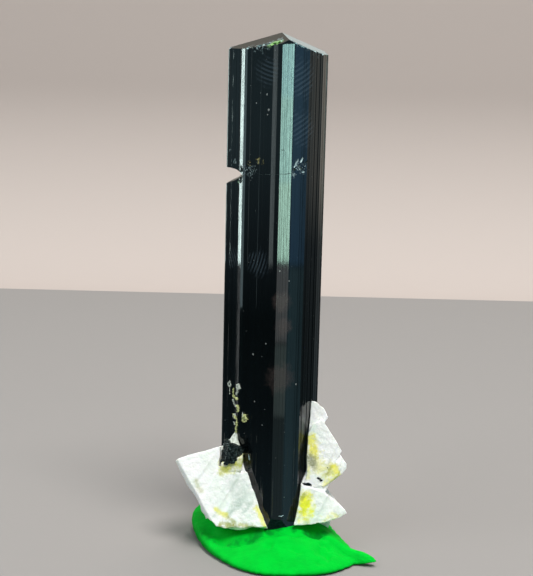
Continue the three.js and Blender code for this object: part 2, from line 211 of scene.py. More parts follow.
world = bpy.data.worlds.new("room")
bpy.context.scene.world = world
world.use_nodes = True
nodes, links = world.node_tree.nodes, world.node_tree.links
nodes.clear()
output = nodes.new("ShaderNodeOutputWorld")
mix = nodes.new("ShaderNodeMixShader")
path = nodes.new("ShaderNodeLightPath")
seen = nodes.new("ShaderNodeBackground")
seen.inputs["Color"].default_value = WORLD_BEHIND
felt = nodes.new("ShaderNodeBackground")
coordinate = nodes.new("ShaderNodeTexCoord")
way = nodes.new("ShaderNodeSeparateXYZ")
links.new(coordinate.outputs["Generated"], way.inputs[0])


def room_ramp(stops):
    """The room's colour by height: the ramp runs from straight down to straight up."""
    ramp = nodes.new("ShaderNodeValToRGB")
    for sine, colour in stops[1:-1]:
        ramp.color_ramp.elements.new(0.5 + sine / 2).color = colour
    ends = ((ramp.color_ramp.elements[0], stops[0]), (ramp.color_ramp.elements[-1], stops[-1]))
    for element, (sine, colour) in ends:
        element.position = 0.5 + sine / 2
        element.color = colour
    half = nodes.new("ShaderNodeMapRange")
    half.inputs["From Min"].default_value = -1
    links.new(way.outputs["Z"], half.inputs["Value"])
    links.new(half.outputs[0], ramp.inputs[0])
    return ramp.outputs[0]


towards_back = nodes.new("ShaderNodeMapRange")
set_values(towards_back, {"From Min": FRONT_TILL, "From Max": BACK_FROM})
room = nodes.new("ShaderNodeMix")
room.data_type = "RGBA"
links.new(way.outputs["Y"], towards_back.inputs["Value"])
links.new(towards_back.outputs[0], room.inputs["Factor"])
links.new(room_ramp(ROOM_FRONT), room.inputs["A"])
links.new(room_ramp(ROOM_BACK), room.inputs["B"])
links.new(room.outputs["Result"], felt.inputs["Color"])
links.new(path.outputs["Is Camera Ray"], mix.inputs[0])
links.new(felt.outputs[0], mix.inputs[1])
links.new(seen.outputs[0], mix.inputs[2])
links.new(mix.outputs[0], output.inputs[0])


# The tourmaline crystal: one long black prism of rounded three-sided section, striated along its length,
# with a low three-sided point, a wedge broken out of its left edge and a healed crack across it.

# Corners of the section, anticlockwise from the front edge, each with how strongly the side that
# starts there is striated
PRISM_CORNERS = [
    ((0.42, -5.28), 0.7), ((1.78, -4.92), 1.2), ((3.62, -3.66), 1.0), ((5.29, -0.72), 0.9),
    ((5.99, 1.84), 0.6), ((5.66, 3.68), 0.8), ((4.35, 5.28), 0.6), ((3.20, 5.68), 0.9),
    ((-3.76, 4.00), 0.8), ((-5.15, 3.36), 0.6), ((-5.89, 2.08), 0.4), ((-5.97, 1.20), 0.5),
    ((-4.304, -1.218), 0.1), ((-3.93, -1.68), 0.15), ((-3.62, -2.0), 0.35), ((-0.58, -4.56), 0.15),
    ((-0.08, -4.88), 0.15),
]
PRISM_FOOT = 1.3
PRISM_TOP = 66
APEX = Vector((0.35, -0.7, 62.55))
POINT_SLOPE = 27.3
POINT_AZIMUTHS = (-140, -18, 102)
# Two small facets beside the point, as place, azimuth and slope, and the slanted break at the foot
SMALL_FACETS = [((1.2, -4.97, 61.22), -78, 67), ((-5.74, 1.8, 60.64), 168, 60)]
FOOT_BREAK_PLACE = (1.6, -5.15, 4.7)
FOOT_BREAK_FACING = (0.17, -0.93, -0.33)
# The striations: narrow treads with a riser between them, most of them tilted a little and a few much more
RISER = 0.025
NARROW_TREAD = 0.07
WIDER_TREAD = 0.55
# A side that is less strongly striated than this has wider treads, by so much
SMOOTH_SIDE = 0.2
SMOOTH_SIDE_MORE = 0.6
MOSTLY_NARROW = 2.4
MOSTLY_SHALLOW = 1.5
CORNER_MARGIN = 0.08
TREAD_TILT = 1.1
LEDGE_DEPTH = 0.075
RARE_TILT = 6.0
RARE_SHARE = 0.09
ROUGH_SIDE = 0.5


def striated_section(corners, seed):
    """The outline of the section in mm: every side is a flight of narrow treads with tiny steps between."""
    chance = random.Random(seed)
    outline = []
    for index, ((x0, y0), strength) in enumerate(corners):
        x1, y1 = corners[(index + 1) % len(corners)][0]
        side = Vector((x1 - x0, y1 - y0))
        length = side.length
        along = side.normalized()
        inward = Vector((-along.y, along.x))
        begin = Vector((x0, y0))
        outline.append(begin)
        reach, depth = 0.0, 0.0
        while True:
            tread = NARROW_TREAD + WIDER_TREAD * chance.random() ** MOSTLY_NARROW
            if strength < SMOOTH_SIDE:
                tread += SMOOTH_SIDE_MORE
            rare = strength > ROUGH_SIDE and chance.random() < RARE_SHARE
            spread = RARE_TILT if rare else TREAD_TILT
            tilt = math.radians(chance.gauss(0, spread)) * strength
            next_depth = LEDGE_DEPTH * strength * chance.random() ** MOSTLY_SHALLOW
            if reach + tread + RISER > length - CORNER_MARGIN:
                break
            reach += tread
            outline.append(begin + along * reach + inward * max(0.0, depth + tread * math.tan(tilt)))
            reach += RISER
            outline.append(begin + along * reach + inward * next_depth)
            depth = next_depth
    return outline


def cut_by_plane(bm, place, facing, material_index=0):
    """What lies on the side that the plane faces goes, and the cut is closed."""
    geometry = bm.verts[:] + bm.edges[:] + bm.faces[:]
    cut = bmesh.ops.bisect_plane(bm, geom=geometry, plane_co=place, plane_no=facing, clear_outer=True)
    edges = [item for item in cut["geom_cut"] if isinstance(item, bmesh.types.BMEdge)]
    if edges:
        filled = bmesh.ops.edgeloop_fill(bm, edges=edges)
        for face in filled["faces"]:
            face.material_index = material_index


def direction(azimuth, slope):
    """A plane's normal from the azimuth it faces and its slope from the level, both in degrees."""
    a, s = math.radians(azimuth), math.radians(slope)
    return Vector((math.sin(s) * math.cos(a), math.sin(s) * math.sin(a), math.cos(s)))


def settle(piece):
    """Makes what the modifiers show the piece's own mesh."""
    shown = piece.evaluated_get(bpy.context.evaluated_depsgraph_get())
    mesh = bpy.data.meshes.new_from_object(shown)
    piece.modifiers.clear()
    piece.data = mesh


def volume_of(piece):
    bm = bmesh.new()
    bm.from_mesh(piece.data)
    volume = bm.calc_volume()
    bm.free()
    return volume


def point_height(x, y):
    """The height of the crystal's point over x and y, in mm."""
    away = Vector((x, y)) - APEX.xy
    slope = math.tan(math.radians(POINT_SLOPE))
    turns = [math.radians(azimuth) for azimuth in POINT_AZIMUTHS]
    return APEX.z - slope * max(away.x * math.cos(turn) + away.y * math.sin(turn) for turn in turns)


# A cut that leaves less than this share of the volume has failed
SOUND_SHARE = 0.98


def carve(piece, cutters):
    """Takes each cutter out of the piece. Cut faces get its material, and a failed cut is dropped."""
    for cutter in cutters:
        whole = piece.data
        volume = volume_of(piece)
        modifier = piece.modifiers.new("carve", "BOOLEAN")
        modifier.operation = "DIFFERENCE"
        modifier.solver = "EXACT"
        modifier.material_mode = "TRANSFER"
        modifier.object = cutter
        settle(piece)
        if volume_of(piece) < SOUND_SHARE * volume:
            piece.data = whole
        bpy.data.objects.remove(cutter)


def roughen(bm, size, depth, seed):
    """Moves the vertices by noise of that grain size, in mm."""
    shift = Vector((seed, seed * 1.7, seed * 0.3))
    for vertex in bm.verts:
        vertex.co += noise.noise_vector(vertex.co / (size * MM) + shift) * depth * MM


def pull_out(bm, corners, way):
    """A face with these corners and the solid that it leaves when it is pulled along the way, all in mm."""
    face = bm.faces.new([bm.verts.new(Vector(corner) * MM) for corner in corners])
    grown = bmesh.ops.extrude_face_region(bm, geom=[face])
    far = [item for item in grown["geom"] if isinstance(item, bmesh.types.BMVert)]
    bmesh.ops.translate(bm, verts=far, vec=Vector(way) * MM)


def slab_cutter(name, outline, thickness, material, grain, depth, seed, cuts):
    """A rough block from an outline in the XZ plane, thickness deep along Y, centred on y = 0."""
    bm = bmesh.new()
    pull_out(bm, [(x, -thickness / 2, z) for x, z in outline], (0, thickness, 0))
    bmesh.ops.triangulate(bm, faces=bm.faces[:])
    bmesh.ops.subdivide_edges(bm, edges=bm.edges[:], cuts=cuts, use_grid_fill=True)
    roughen(bm, grain, depth, seed)
    bmesh.ops.recalc_face_normals(bm, faces=bm.faces[:])
    return mesh_object(name, bm, material)


def turned_by(degrees):
    """The matrix of a turn about X, Y and Z."""
    return Euler([math.radians(angle) for angle in degrees]).to_matrix()


def shard_cutter(place, size, turn, material, seed):
    """An angular lump with half sizes in mm and turns in degrees, taken out to leave a chip."""
    bm = bmesh.new()
    bmesh.ops.create_icosphere(bm, subdivisions=1, radius=MM)
    for vertex in bm.verts:
        vertex.co *= 0.85 + 0.6 * noise.noise(vertex.co / (0.7 * MM) + Vector((seed, seed, 0)))
    bmesh.ops.scale(bm, verts=bm.verts[:], vec=size)
    bmesh.ops.rotate(bm, verts=bm.verts[:], matrix=turned_by(turn))
    bmesh.ops.translate(bm, verts=bm.verts[:], vec=Vector(place) * MM)
    bmesh.ops.triangulate(bm, faces=bm.faces[:])
    return mesh_object("shard", bm, material)


# The crack turns after every such step, by up to this much up or down
CRACK_STEP = 0.3
CRACK_JOG = 0.05


def crack_cutter(path, width, material, seed):
    """A thin jagged tube of square section along the path."""
    chance = random.Random(seed)
    places = []
    for start, end in zip(path, path[1:]):
        start, end = Vector(start), Vector(end)
        steps = max(2, round((end - start).length / CRACK_STEP))
        for step in range(steps):
            jog = CRACK_JOG * chance.uniform(-1, 1) if places else 0
            places.append(start.lerp(end, step / steps) + Vector((0, 0, jog)))
    places.append(Vector(path[-1]))
    bm = bmesh.new()
    rings = []
    for place in places:
        reach = width * chance.uniform(0.5, 1.2)
        sides = [(0, -reach), (reach, 0), (0, reach), (-reach, 0)]
        outward = Vector((place.x, place.y, 0)).normalized()
        rings.append([bm.verts.new((place + outward * a + Vector((0, 0, b * 0.7))) * MM) for a, b in sides])
    for before, after in zip(rings, rings[1:]):
        for side in range(4):
            following = (side + 1) % 4
            bm.faces.new([before[side], before[following], after[following], after[side]])
    bm.faces.new(rings[0])
    bm.faces.new(rings[-1])
    bmesh.ops.recalc_face_normals(bm, faces=bm.faces[:])
    return mesh_object("crack", bm, material)


def group_with(name, inputs, outputs):
    """A new shader node group with those sockets, given as (name, kind, starting value)."""
    group = bpy.data.node_groups.new(name, "ShaderNodeTree")
    for socket_name, kind, value in inputs:
        socket = group.interface.new_socket(name=socket_name, in_out="INPUT", socket_type=kind)
        if value is not None:
            socket.default_value = value
    for socket_name, kind in outputs:
        group.interface.new_socket(name=socket_name, in_out="OUTPUT", socket_type=kind)
    return group, group.nodes.new("NodeGroupInput"), group.nodes.new("NodeGroupOutput")


def placed(tree, group, values):
    """A node group in a material, with its own values."""
    node = tree.nodes.new("ShaderNodeGroup")
    node.node_tree = group
    set_values(node, values)
    return node


def in_millimetres(tree):
    """The piece's own coordinates, in mm."""
    coordinate = tree.nodes.new("ShaderNodeTexCoord")
    scaled = tree.nodes.new("ShaderNodeMapping")
    scaled.inputs["Scale"].default_value = (1 / MM, 1 / MM, 1 / MM)
    tree.links.new(coordinate.outputs["Object"], scaled.inputs["Vector"])
    return scaled.outputs["Vector"]


def stretched_noise(tree, vector, scale, detail=4.0, roughness=0.55):
    """Noise with its own scale along each axis."""
    mapping = tree.nodes.new("ShaderNodeMapping")
    mapping.inputs["Scale"].default_value = scale
    texture = tree.nodes.new("ShaderNodeTexNoise")
    set_values(texture, {"Scale": 1.0, "Detail": detail, "Roughness": roughness})
    tree.links.new(vector, mapping.inputs["Vector"])
    tree.links.new(mapping.outputs[0], texture.inputs["Vector"])
    return texture.outputs["Fac"]


def remapped(tree, value, low, high, out_low=0.0, out_high=1.0, smooth=False):
    """The value carried from low to high over to out_low to out_high."""
    node = tree.nodes.new("ShaderNodeMapRange")
    node.interpolation_type = "SMOOTHSTEP" if smooth else "LINEAR"
    set_values(node, {"From Min": low, "From Max": high, "To Min": out_low, "To Max": out_high})
    tree.links.new(value, node.inputs["Value"])
    return node.outputs[0]


def combined(tree, operation, first, second):
    """A Math node on two values, each a socket or a number."""
    node = tree.nodes.new("ShaderNodeMath")
    node.operation = operation
    for socket, value in zip(node.inputs, (first, second)):
        if isinstance(value, (int, float)):
            socket.default_value = value
        else:
            tree.links.new(value, socket)
    return node.outputs[0]


def tinted(tree, share, first, second):
    """A colour between two, each a socket or a colour."""
    node = tree.nodes.new("ShaderNodeMix")
    node.data_type = "RGBA"
    tree.links.new(share, node.inputs["Factor"])
    for socket, value in ((node.inputs["A"], first), (node.inputs["B"], second)):
        if isinstance(value, tuple):
            socket.default_value = value
        else:
            tree.links.new(value, socket)
    return node.outputs["Result"]


def laid_over(tree, colour, mask, strength, over):
    """The colour with another laid over it where the mask says, at that strength."""
    return tinted(tree, combined(tree, "MULTIPLY", mask, strength), colour, over)


def vector_math(tree, operation, first, second):
    """A vector maths node on two sockets."""
    node = tree.nodes.new("ShaderNodeVectorMath")
    node.operation = operation
    tree.links.new(first, node.inputs[0])
    tree.links.new(second, node.inputs[1])
    return node


def bumped(tree, shader, height, strength, depth):
    """Gives the shader a fine relief of that strength, and of that depth in mm."""
    bump = tree.nodes.new("ShaderNodeBump")
    set_values(bump, {"Strength": strength, "Distance": depth * MM})
    tree.links.new(height, bump.inputs["Height"])
    tree.links.new(bump.outputs[0], shader.inputs["Normal"])


def spot_mask():
    """A soft spot: 1 within a distance of its centre, 0 beyond, with a broken edge."""
    tree, inside, out = group_with(
        "spot",
        [("Vector", "NodeSocketVector", None), ("Centre", "NodeSocketVector", None),
         ("Radius", "NodeSocketFloat", 1.0), ("Raggedness", "NodeSocketFloat", 0.5)],
        [("Mask", "NodeSocketFloat")],
    )
    distance = vector_math(tree, "DISTANCE", inside.outputs["Vector"], inside.outputs["Centre"])
    ragged = tree.nodes.new("ShaderNodeTexNoise")
    set_values(ragged, {"Scale": 1.6, "Detail": 5.0})
    tree.links.new(inside.outputs["Vector"], ragged.inputs["Vector"])
    centred = combined(tree, "SUBTRACT", ragged.outputs["Fac"], 0.5)
    push = combined(tree, "MULTIPLY", centred, inside.outputs["Raggedness"])
    share = combined(tree, "DIVIDE", distance.outputs["Value"], inside.outputs["Radius"])
    pushed = combined(tree, "ADD", share, push)
    tree.links.new(remapped(tree, pushed, 1.0, 0.35, smooth=True), out.inputs["Mask"])
    return tree


SPOT = spot_mask()


def spots(tree, vector, places, raggedness):
    """The strongest of several soft spots, given as (x, y, z, radius) in mm."""
    total = None
    for x, y, z, radius in places:
        node = placed(tree, SPOT, {"Centre": (x, y, z), "Radius": radius, "Raggedness": raggedness})
        tree.links.new(vector, node.inputs["Vector"])
        mask = node.outputs["Mask"]
        total = mask if total is None else combined(tree, "MAXIMUM", total, mask)
    return total


RIDGES_PER_MM = 2.1


def finger_print_lines():
    """The greasy ridge lines that a finger leaves: rings about a centre, fading towards the edge."""
    tree, inside, out = group_with(
        "finger_print",
        [("Vector", "NodeSocketVector", None), ("Middle", "NodeSocketVector", None),
         ("Whorl", "NodeSocketVector", None), ("Radius", "NodeSocketFloat", 2.0)],
        [("Lines", "NodeSocketFloat")],
    )
    from_whorl = vector_math(tree, "SUBTRACT", inside.outputs["Vector"], inside.outputs["Whorl"])
    rings = tree.nodes.new("ShaderNodeTexWave")
    rings.wave_type = "RINGS"
    rings.rings_direction = "SPHERICAL"
    scale = RIDGES_PER_MM * math.pi / 10
    set_values(rings, {"Scale": scale, "Distortion": 1.4, "Detail": 2.0, "Detail Scale": 0.6})
    tree.links.new(from_whorl.outputs[0], rings.inputs["Vector"])
    ridge = remapped(tree, rings.outputs["Fac"], 0.35, 0.75, smooth=True)
    spot = placed(tree, SPOT, {"Raggedness": 1.1})
    tree.links.new(inside.outputs["Vector"], spot.inputs["Vector"])
    tree.links.new(inside.outputs["Middle"], spot.inputs["Centre"])
    tree.links.new(inside.outputs["Radius"], spot.inputs["Radius"])
    tree.links.new(combined(tree, "MULTIPLY", ridge, spot.outputs["Mask"]), out.inputs["Lines"])
    return tree


FINGER_PRINT = finger_print_lines()
# Middle of each print, the centre that its ridges curve about, and its radius
PRINTS = [
    ((-1.35, -3.95, 57.9), (0.6, -5.5, 66.5), 2.1),
    ((2.7, -4.3, 57.2), (-3.5, -4.3, 66.0), 2.8),
    ((2.9, -4.15, 51.5), (-3.5, -4.3, 61.0), 2.6),
    ((-1.9, -3.5, 35.6), (-10.0, 3.3, 39.5), 2.0),
    ((-4.9, -0.3, 35.6), (-12.0, 7.0, 31.0), 1.6),
]
# Crushed places beside the notch, along the crack and by the rim of the point, as x, y, z and radius. Their
# pale colour is partly the crushed grain and partly painted glint.
CRUSHED_AND_GLINTING_PLACES = [
    (-3.3, -2.35, 46.3, 1.0), (-2.5, -3.0, 46.5, 0.45), (2.5, -4.45, 47.2, 0.75), (3.05, -4.05, 46.8, 0.8),
    (2.2, -4.7, 46.3, 0.5), (5.45, 0.0, 48.07, 0.2), (-4.9, -0.33, 47.2, 0.4),
    (-5.3, 0.9, 60.85, 0.4), (-3.4, -1.7, 60.74, 0.6), (-2.3, -2.7, 60.84, 0.95), (-1.7, -3.1, 60.94, 1.0),
    (-1.1, -3.4, 61.08, 1.1), (0.1, -3.2, 61.6, 0.6), (2.2, -3.9, 61.13, 0.8), (2.9, -3.4, 60.87, 1.0),
    (3.6, -2.6, 60.65, 1.0), (4.3, -1.6, 60.47, 0.9), (4.9, -0.5, 60.35, 0.8), (1.3, -3.9, 61.5, 0.4),
]
# Painted glow: where light would shine green through the thin edges by the point, as x, y, z and radius
THIN_EDGE_GLOW_PLACES = [(-0.5, -3.8, 61.19, 0.8), (0.0, -4.1, 61.28, 0.7), (-1.0, -3.9, 60.9, 0.5)]
MUD = [(-3.2, -2.4, 47.2, 0.45), (-2.1, -3.3, 47.7, 0.55), (-1.6, -3.7, 47.5, 0.35)]
FILMS = [(1.1, -5.1, 31.2, 1.5), (1.5, -5.0, 28.2, 1.3), (1.2, -5.05, 22.0, 2.2)]
# Single bright grains of dust on the front faces
DUST = [
    (-1.26, -4.0, 55.3, 0.14), (-1.02, -4.19, 53.55, 0.19), (-1.14, -4.1, 53.0, 0.11),
    (-2.48, -3.0, 54.3, 0.12), (0.76, -5.19, 34.9, 0.12), (-0.7, -4.5, 26.0, 0.14),
    (-2.2, -3.2, 24.4, 0.16), (1.9, -4.85, 33.7, 0.12), (-1.9, -3.5, 18.6, 0.13),
    (-0.9, -4.3, 15.9, 0.10), (3.1, -4.0, 21.0, 0.16), (-2.4, -3.1, 35.8, 0.13),
]
BLACK = (0.0006, 0.0012, 0.0014, 1)
BLUE_BLACK = (0.0012, 0.0026, 0.0034, 1)
PINKISH_FILM = (0.40, 0.27, 0.24, 1)
GREASE = (0.36, 0.52, 0.66, 1)
DUST_GREY = (0.55, 0.58, 0.55, 1)
MUD_BROWN = (0.42, 0.36, 0.10, 1)
CRUSHED_PALE_AND_GLINT = (0.50, 0.68, 0.70, 1)
PAINTED_GLOW_GREEN = (0.28, 0.50, 0.20, 1)


def polished_tourmaline():
    """Black tourmaline: glossy, finely striated, with a film of dust, finger marks, crushed places with
    painted glints and a painted green glow by the point.
    """
    material, tree, shader = new_material("black_tourmaline")
    here = in_millimetres(tree)
    fine = stretched_noise(tree, here, (7.0, 7.0, 0.035), detail=5.0, roughness=0.7)
    broad = stretched_noise(tree, here, (1.1, 1.1, 0.02), detail=2.0)
    pits = stretched_noise(tree, here, (5.0, 5.0, 2.2), detail=6.0, roughness=0.75)
    haze = stretched_noise(tree, here, (0.5, 0.5, 0.25), detail=5.0, roughness=0.65)
    dust = tree.nodes.new("ShaderNodeTexVoronoi")
    dust.inputs["Scale"].default_value = 1.3
    tree.links.new(here, dust.inputs["Vector"])
    speck = remapped(tree, dust.outputs["Distance"], 0.075, 0.03)
    here_and_there = remapped(tree, haze, 0.5, 0.62)
    speck = combined(tree, "MULTIPLY", speck, here_and_there)

    lines = None
    for middle, whorl, radius in PRINTS:
        mark = placed(tree, FINGER_PRINT, {"Middle": middle, "Whorl": whorl, "Radius": radius})
        tree.links.new(here, mark.inputs["Vector"])
        found = mark.outputs["Lines"]
        lines = found if lines is None else combined(tree, "MAXIMUM", lines, found)
    bruise_and_glint = spots(tree, here, CRUSHED_AND_GLINTING_PLACES, 1.6)
    crumbly = stretched_noise(tree, here, (3.6, 3.6, 3.6), detail=3.0, roughness=0.7)
    crushed = remapped(tree, crumbly, 0.53, 0.60)
    bruise_and_glint = combined(tree, "MULTIPLY", bruise_and_glint, crushed)
    mud = combined(tree, "MULTIPLY", spots(tree, here, MUD, 1.6), crushed)
    thin_edge_glow = spots(tree, here, THIN_EDGE_GLOW_PLACES, 1.0)
    film = spots(tree, here, FILMS, 1.2)
    speck = combined(tree, "MAXIMUM", speck, spots(tree, here, DUST, 0.5))

    colour = tinted(tree, remapped(tree, broad, 0.35, 0.7), BLACK, BLUE_BLACK)
    colour = laid_over(tree, colour, film, 0.07, PINKISH_FILM)
    colour = laid_over(tree, colour, lines, 0.06, GREASE)
    colour = laid_over(tree, colour, speck, 0.5, DUST_GREY)
    colour = tinted(tree, mud, colour, MUD_BROWN)
    # Pale crushed grain, partly painted glint
    colour = laid_over(tree, colour, bruise_and_glint, 0.6, CRUSHED_PALE_AND_GLINT)
    # Painted glow of light through the thin edges, as a green tint
    colour = laid_over(tree, colour, thin_edge_glow, 0.8, PAINTED_GLOW_GREEN)
    tree.links.new(colour, shader.inputs["Base Color"])

    gloss = remapped(tree, haze, 0.3, 0.75, 0.025, 0.06)
    gloss = combined(tree, "ADD", gloss, combined(tree, "MULTIPLY", lines, 0.08))
    gloss = combined(tree, "ADD", gloss, combined(tree, "MULTIPLY", film, 0.10))
    rough = combined(tree, "MAXIMUM", combined(tree, "MAXIMUM", bruise_and_glint, mud), thin_edge_glow)
    rough = combined(tree, "MAXIMUM", rough, speck)
    tree.links.new(combined(tree, "MAXIMUM", gloss, combined(tree, "MULTIPLY", rough, 0.6)),
              shader.inputs["Roughness"])
    shader.inputs["IOR"].default_value = 1.64

    relief = combined(tree, "ADD", fine, combined(tree, "MULTIPLY", pits, 0.06))
    bumped(tree, shader, relief, 0.16, 0.02)
    return material


def fresh_break(name, deep, pale, gloss, shine=0.3):
    """A broken tourmaline surface: uneven and glassy, with paler grain over a deep colour."""
    material, tree, shader = new_material(name)
    here = in_millimetres(tree)
    grain = stretched_noise(tree, here, (3.2, 3.2, 5.0), detail=6.0, roughness=0.7)
    colour = tinted(tree, remapped(tree, grain, 0.42, 0.66), deep, pale)
    tree.links.new(colour, shader.inputs["Base Color"])
    set_values(shader, {"Roughness": gloss, "Specular IOR Level": shine})
    bumped(tree, shader, grain, 0.6, 0.05)
    return material


BLACK_TOURMALINE = polished_tourmaline()
DARK_BREAK = fresh_break("dark_break", (0.003, 0.006, 0.006, 1), (0.10, 0.14, 0.13, 1), 0.22)
GREEN_BREAK = fresh_break("green_break", (0.04, 0.10, 0.06, 1), (0.34, 0.52, 0.32, 1), 0.2)
# Painted glow: chips coloured the green that light gives when it shines through thin edges
PAINTED_GLOW_BREAK = fresh_break("painted_glow_break", (0.16, 0.34, 0.10, 1), (0.50, 0.80, 0.36, 1), 0.25)
GREY_BREAK = fresh_break("grey_break", (0.03, 0.045, 0.045, 1), (0.16, 0.21, 0.20, 1), 0.4)
FOOT_BREAK = fresh_break("foot_break", (0.004, 0.010, 0.013, 1), (0.02, 0.045, 0.05, 1), 0.4, shine=0.04)
# Painted glint: broken faces coloured pale cyan-white, as if they caught the light
PAINTED_GLINT_BREAK = fresh_break("painted_glint_break", (0.16, 0.26, 0.28, 1), (0.78, 0.95, 0.95, 1), 0.3)

bm = bmesh.new()
section = striated_section(PRISM_CORNERS, seed=11)
pull_out(bm, [(point.x, point.y, PRISM_FOOT) for point in section], (0, 0, PRISM_TOP - PRISM_FOOT))
bmesh.ops.recalc_face_normals(bm, faces=bm.faces[:])
for azimuth in POINT_AZIMUTHS:
    cut_by_plane(bm, APEX * MM, direction(azimuth, POINT_SLOPE))
for place, azimuth, slope in SMALL_FACETS:
    cut_by_plane(bm, Vector(place) * MM, direction(azimuth, slope))
cut_by_plane(bm, Vector(FOOT_BREAK_PLACE) * MM, Vector(FOOT_BREAK_FACING), material_index=1)
crystal = mesh_object("tourmaline_prism", bm, BLACK_TOURMALINE)
crystal.data.materials.append(FOOT_BREAK)

# The y of the notch's middle, and its outline as x and z
NOTCH_MIDDLE = 1.0
NOTCH = [
    (-8, 43.6), (-5.95, 44.62), (-5.19, 44.95), (-4.5, 45.32), (-3.95, 45.72),
    (-4.35, 46.2), (-4.72, 46.4), (-5.33, 46.52), (-5.95, 46.54), (-8, 46.56),
]
# Chips along the rim of the point: x and y of the rim, sizes, turns and material. The pale ones carry
# painted glint.
RIM_CHIPS = [
    ((-5.75, 1.10), (0.34, 0.34, 0.22), (20, 10, 40), PAINTED_GLINT_BREAK),
    ((-3.60, -1.90), (0.30, 0.60, 0.16), (0, 10, -45), PAINTED_GLINT_BREAK),
    ((-3.00, -2.35), (0.30, 0.55, 0.18), (0, 10, -38), GREY_BREAK),
    ((-2.20, -2.80), (0.42, 0.85, 0.17), (0, -10, -30), PAINTED_GLINT_BREAK),
    ((-1.65, -3.05), (0.30, 1.00, 0.16), (0, -10, -60), PAINTED_GLINT_BREAK),
    ((-1.20, -3.50), (0.36, 0.85, 0.17), (0, -14, -40), PAINTED_GLINT_BREAK),
    # These two chips carry the painted green glow
    ((-0.60, -4.10), (0.50, 1.20, 0.30), (0, -12, -44), PAINTED_GLOW_BREAK),
    ((0.00, -4.50), (0.50, 1.10, 0.30), (0, -14, -40), PAINTED_GLOW_BREAK),
    ((0.35, -3.90), (0.16, 0.90, 0.20), (0, 0, -50), PAINTED_GLINT_BREAK),
    ((1.55, -4.00), (0.22, 0.70, 0.20), (10, 10, 20), PAINTED_GLINT_BREAK),
    ((1.95, -4.60), (0.36, 0.50, 0.20), (10, 20, 25), PAINTED_GLINT_BREAK),
    ((2.55, -4.20), (0.50, 0.90, 0.26), (0, 14, 35), PAINTED_GLINT_BREAK),
    ((3.10, -3.70), (0.46, 0.90, 0.24), (0, 14, 38), PAINTED_GLINT_BREAK),
    ((3.60, -3.30), (0.40, 0.80, 0.22), (0, 14, 44), GREY_BREAK),
    ((4.05, -2.60), (0.44, 0.75, 0.22), (0, 14, 58), PAINTED_GLINT_BREAK),
    ((4.55, -1.80), (0.40, 0.60, 0.20), (0, 14, 58), GREY_BREAK),
    ((5.10, -0.80), (0.44, 0.60, 0.22), (0, 14, 62), PAINTED_GLINT_BREAK),
    ((5.75, 0.95), (0.36, 0.24, 0.18), (25, 20, 70), GREEN_BREAK),
    ((-3.00, 4.20), (0.6, 0.45, 0.30), (30, 10, 10), GREEN_BREAK),
    ((1.20, 5.15), (0.5, 0.35, 0.22), (20, -20, 15), PAINTED_GLINT_BREAK),
    ((4.90, 4.70), (0.4, 0.35, 0.22), (20, -20, 60), GREY_BREAK),
]
# Other chips, with their height too: at the right of the crack, on the edges, by the notch and behind. The
# pale ones carry painted glint.
CHIPS = [
    ((2.30, -4.58, 47.40), (0.18, 0.22, 0.66), (0, 28, 35), PAINTED_GLINT_BREAK),
    ((2.62, -4.36, 47.85), (0.16, 0.22, 0.40), (0, 20, 35), PAINTED_GLINT_BREAK),
    ((3.02, -4.08, 47.85), (0.15, 0.22, 0.62), (0, 36, 35), PAINTED_GLINT_BREAK),
    ((2.72, -4.30, 47.2), (0.20, 0.20, 0.34), (0, 20, 35), DARK_BREAK),
    ((3.22, -3.96, 46.5), (0.26, 0.22, 0.24), (20, 40, 35), PAINTED_GLINT_BREAK),
    ((2.95, -4.15, 46.95), (0.30, 0.22, 0.34), (20, -30, 35), DARK_BREAK),
    ((2.15, -4.68, 46.75), (0.20, 0.16, 0.34), (0, 15, 35), DARK_BREAK),
    ((2.05, -4.75, 46.2), (0.14, 0.14, 0.30), (0, -15, 35), PAINTED_GLINT_BREAK),
    ((3.6, -3.68, 47.7), (0.12, 0.16, 0.55), (0, 45, 40), DARK_BREAK),
    ((5.47, -0.40, 48.07), (0.10, 0.24, 0.14), (0, 0, 10), PAINTED_GLINT_BREAK),
    ((0.76, -5.19, 49.0), (0.30, 0.06, 0.06), (0, 6, 15), DARK_BREAK),
    ((-5.0, -0.12, 47.2), (0.08, 0.1, 0.34), (0, -30, -50), PAINTED_GLINT_BREAK),
    ((-5.55, 0.7, 48.6), (0.1, 0.12, 0.3), (0, 10, -50), PAINTED_GLINT_BREAK),
    ((-4.13, -1.46, 46.75), (0.36, 0.22, 0.30), (0, 0, -54), DARK_BREAK),
    ((-4.12, -1.46, 46.35), (0.42, 0.26, 0.40), (0, 0, -54), DARK_BREAK),
    ((-4.12, -1.46, 45.55), (0.42, 0.26, 0.42), (0, 0, -54), DARK_BREAK),
    ((-4.12, -1.46, 45.10), (0.36, 0.22, 0.34), (0, 20, -54), DARK_BREAK),
    ((-4.45, -1.02, 44.95), (0.34, 0.18, 0.22), (0, 30, -54), GREEN_BREAK),
    # A pale chip that paints a glint beside the small crystal
    ((-2.40, -3.07, 11.40), (0.17, 0.14, 0.66), (0, -12, -40), PAINTED_GLINT_BREAK),
    ((1.75, -4.97, 4.70), (0.66, 0.24, 0.11), (0, 0, 24), PAINTED_GLINT_BREAK),
    ((5.4, 4.0, 30.2), (0.35, 0.35, 0.6), (10, 20, 30), DARK_BREAK),
    ((-5.4, 3.2, 22.4), (0.3, 0.3, 0.5), (10, -20, 30), DARK_BREAK),
]
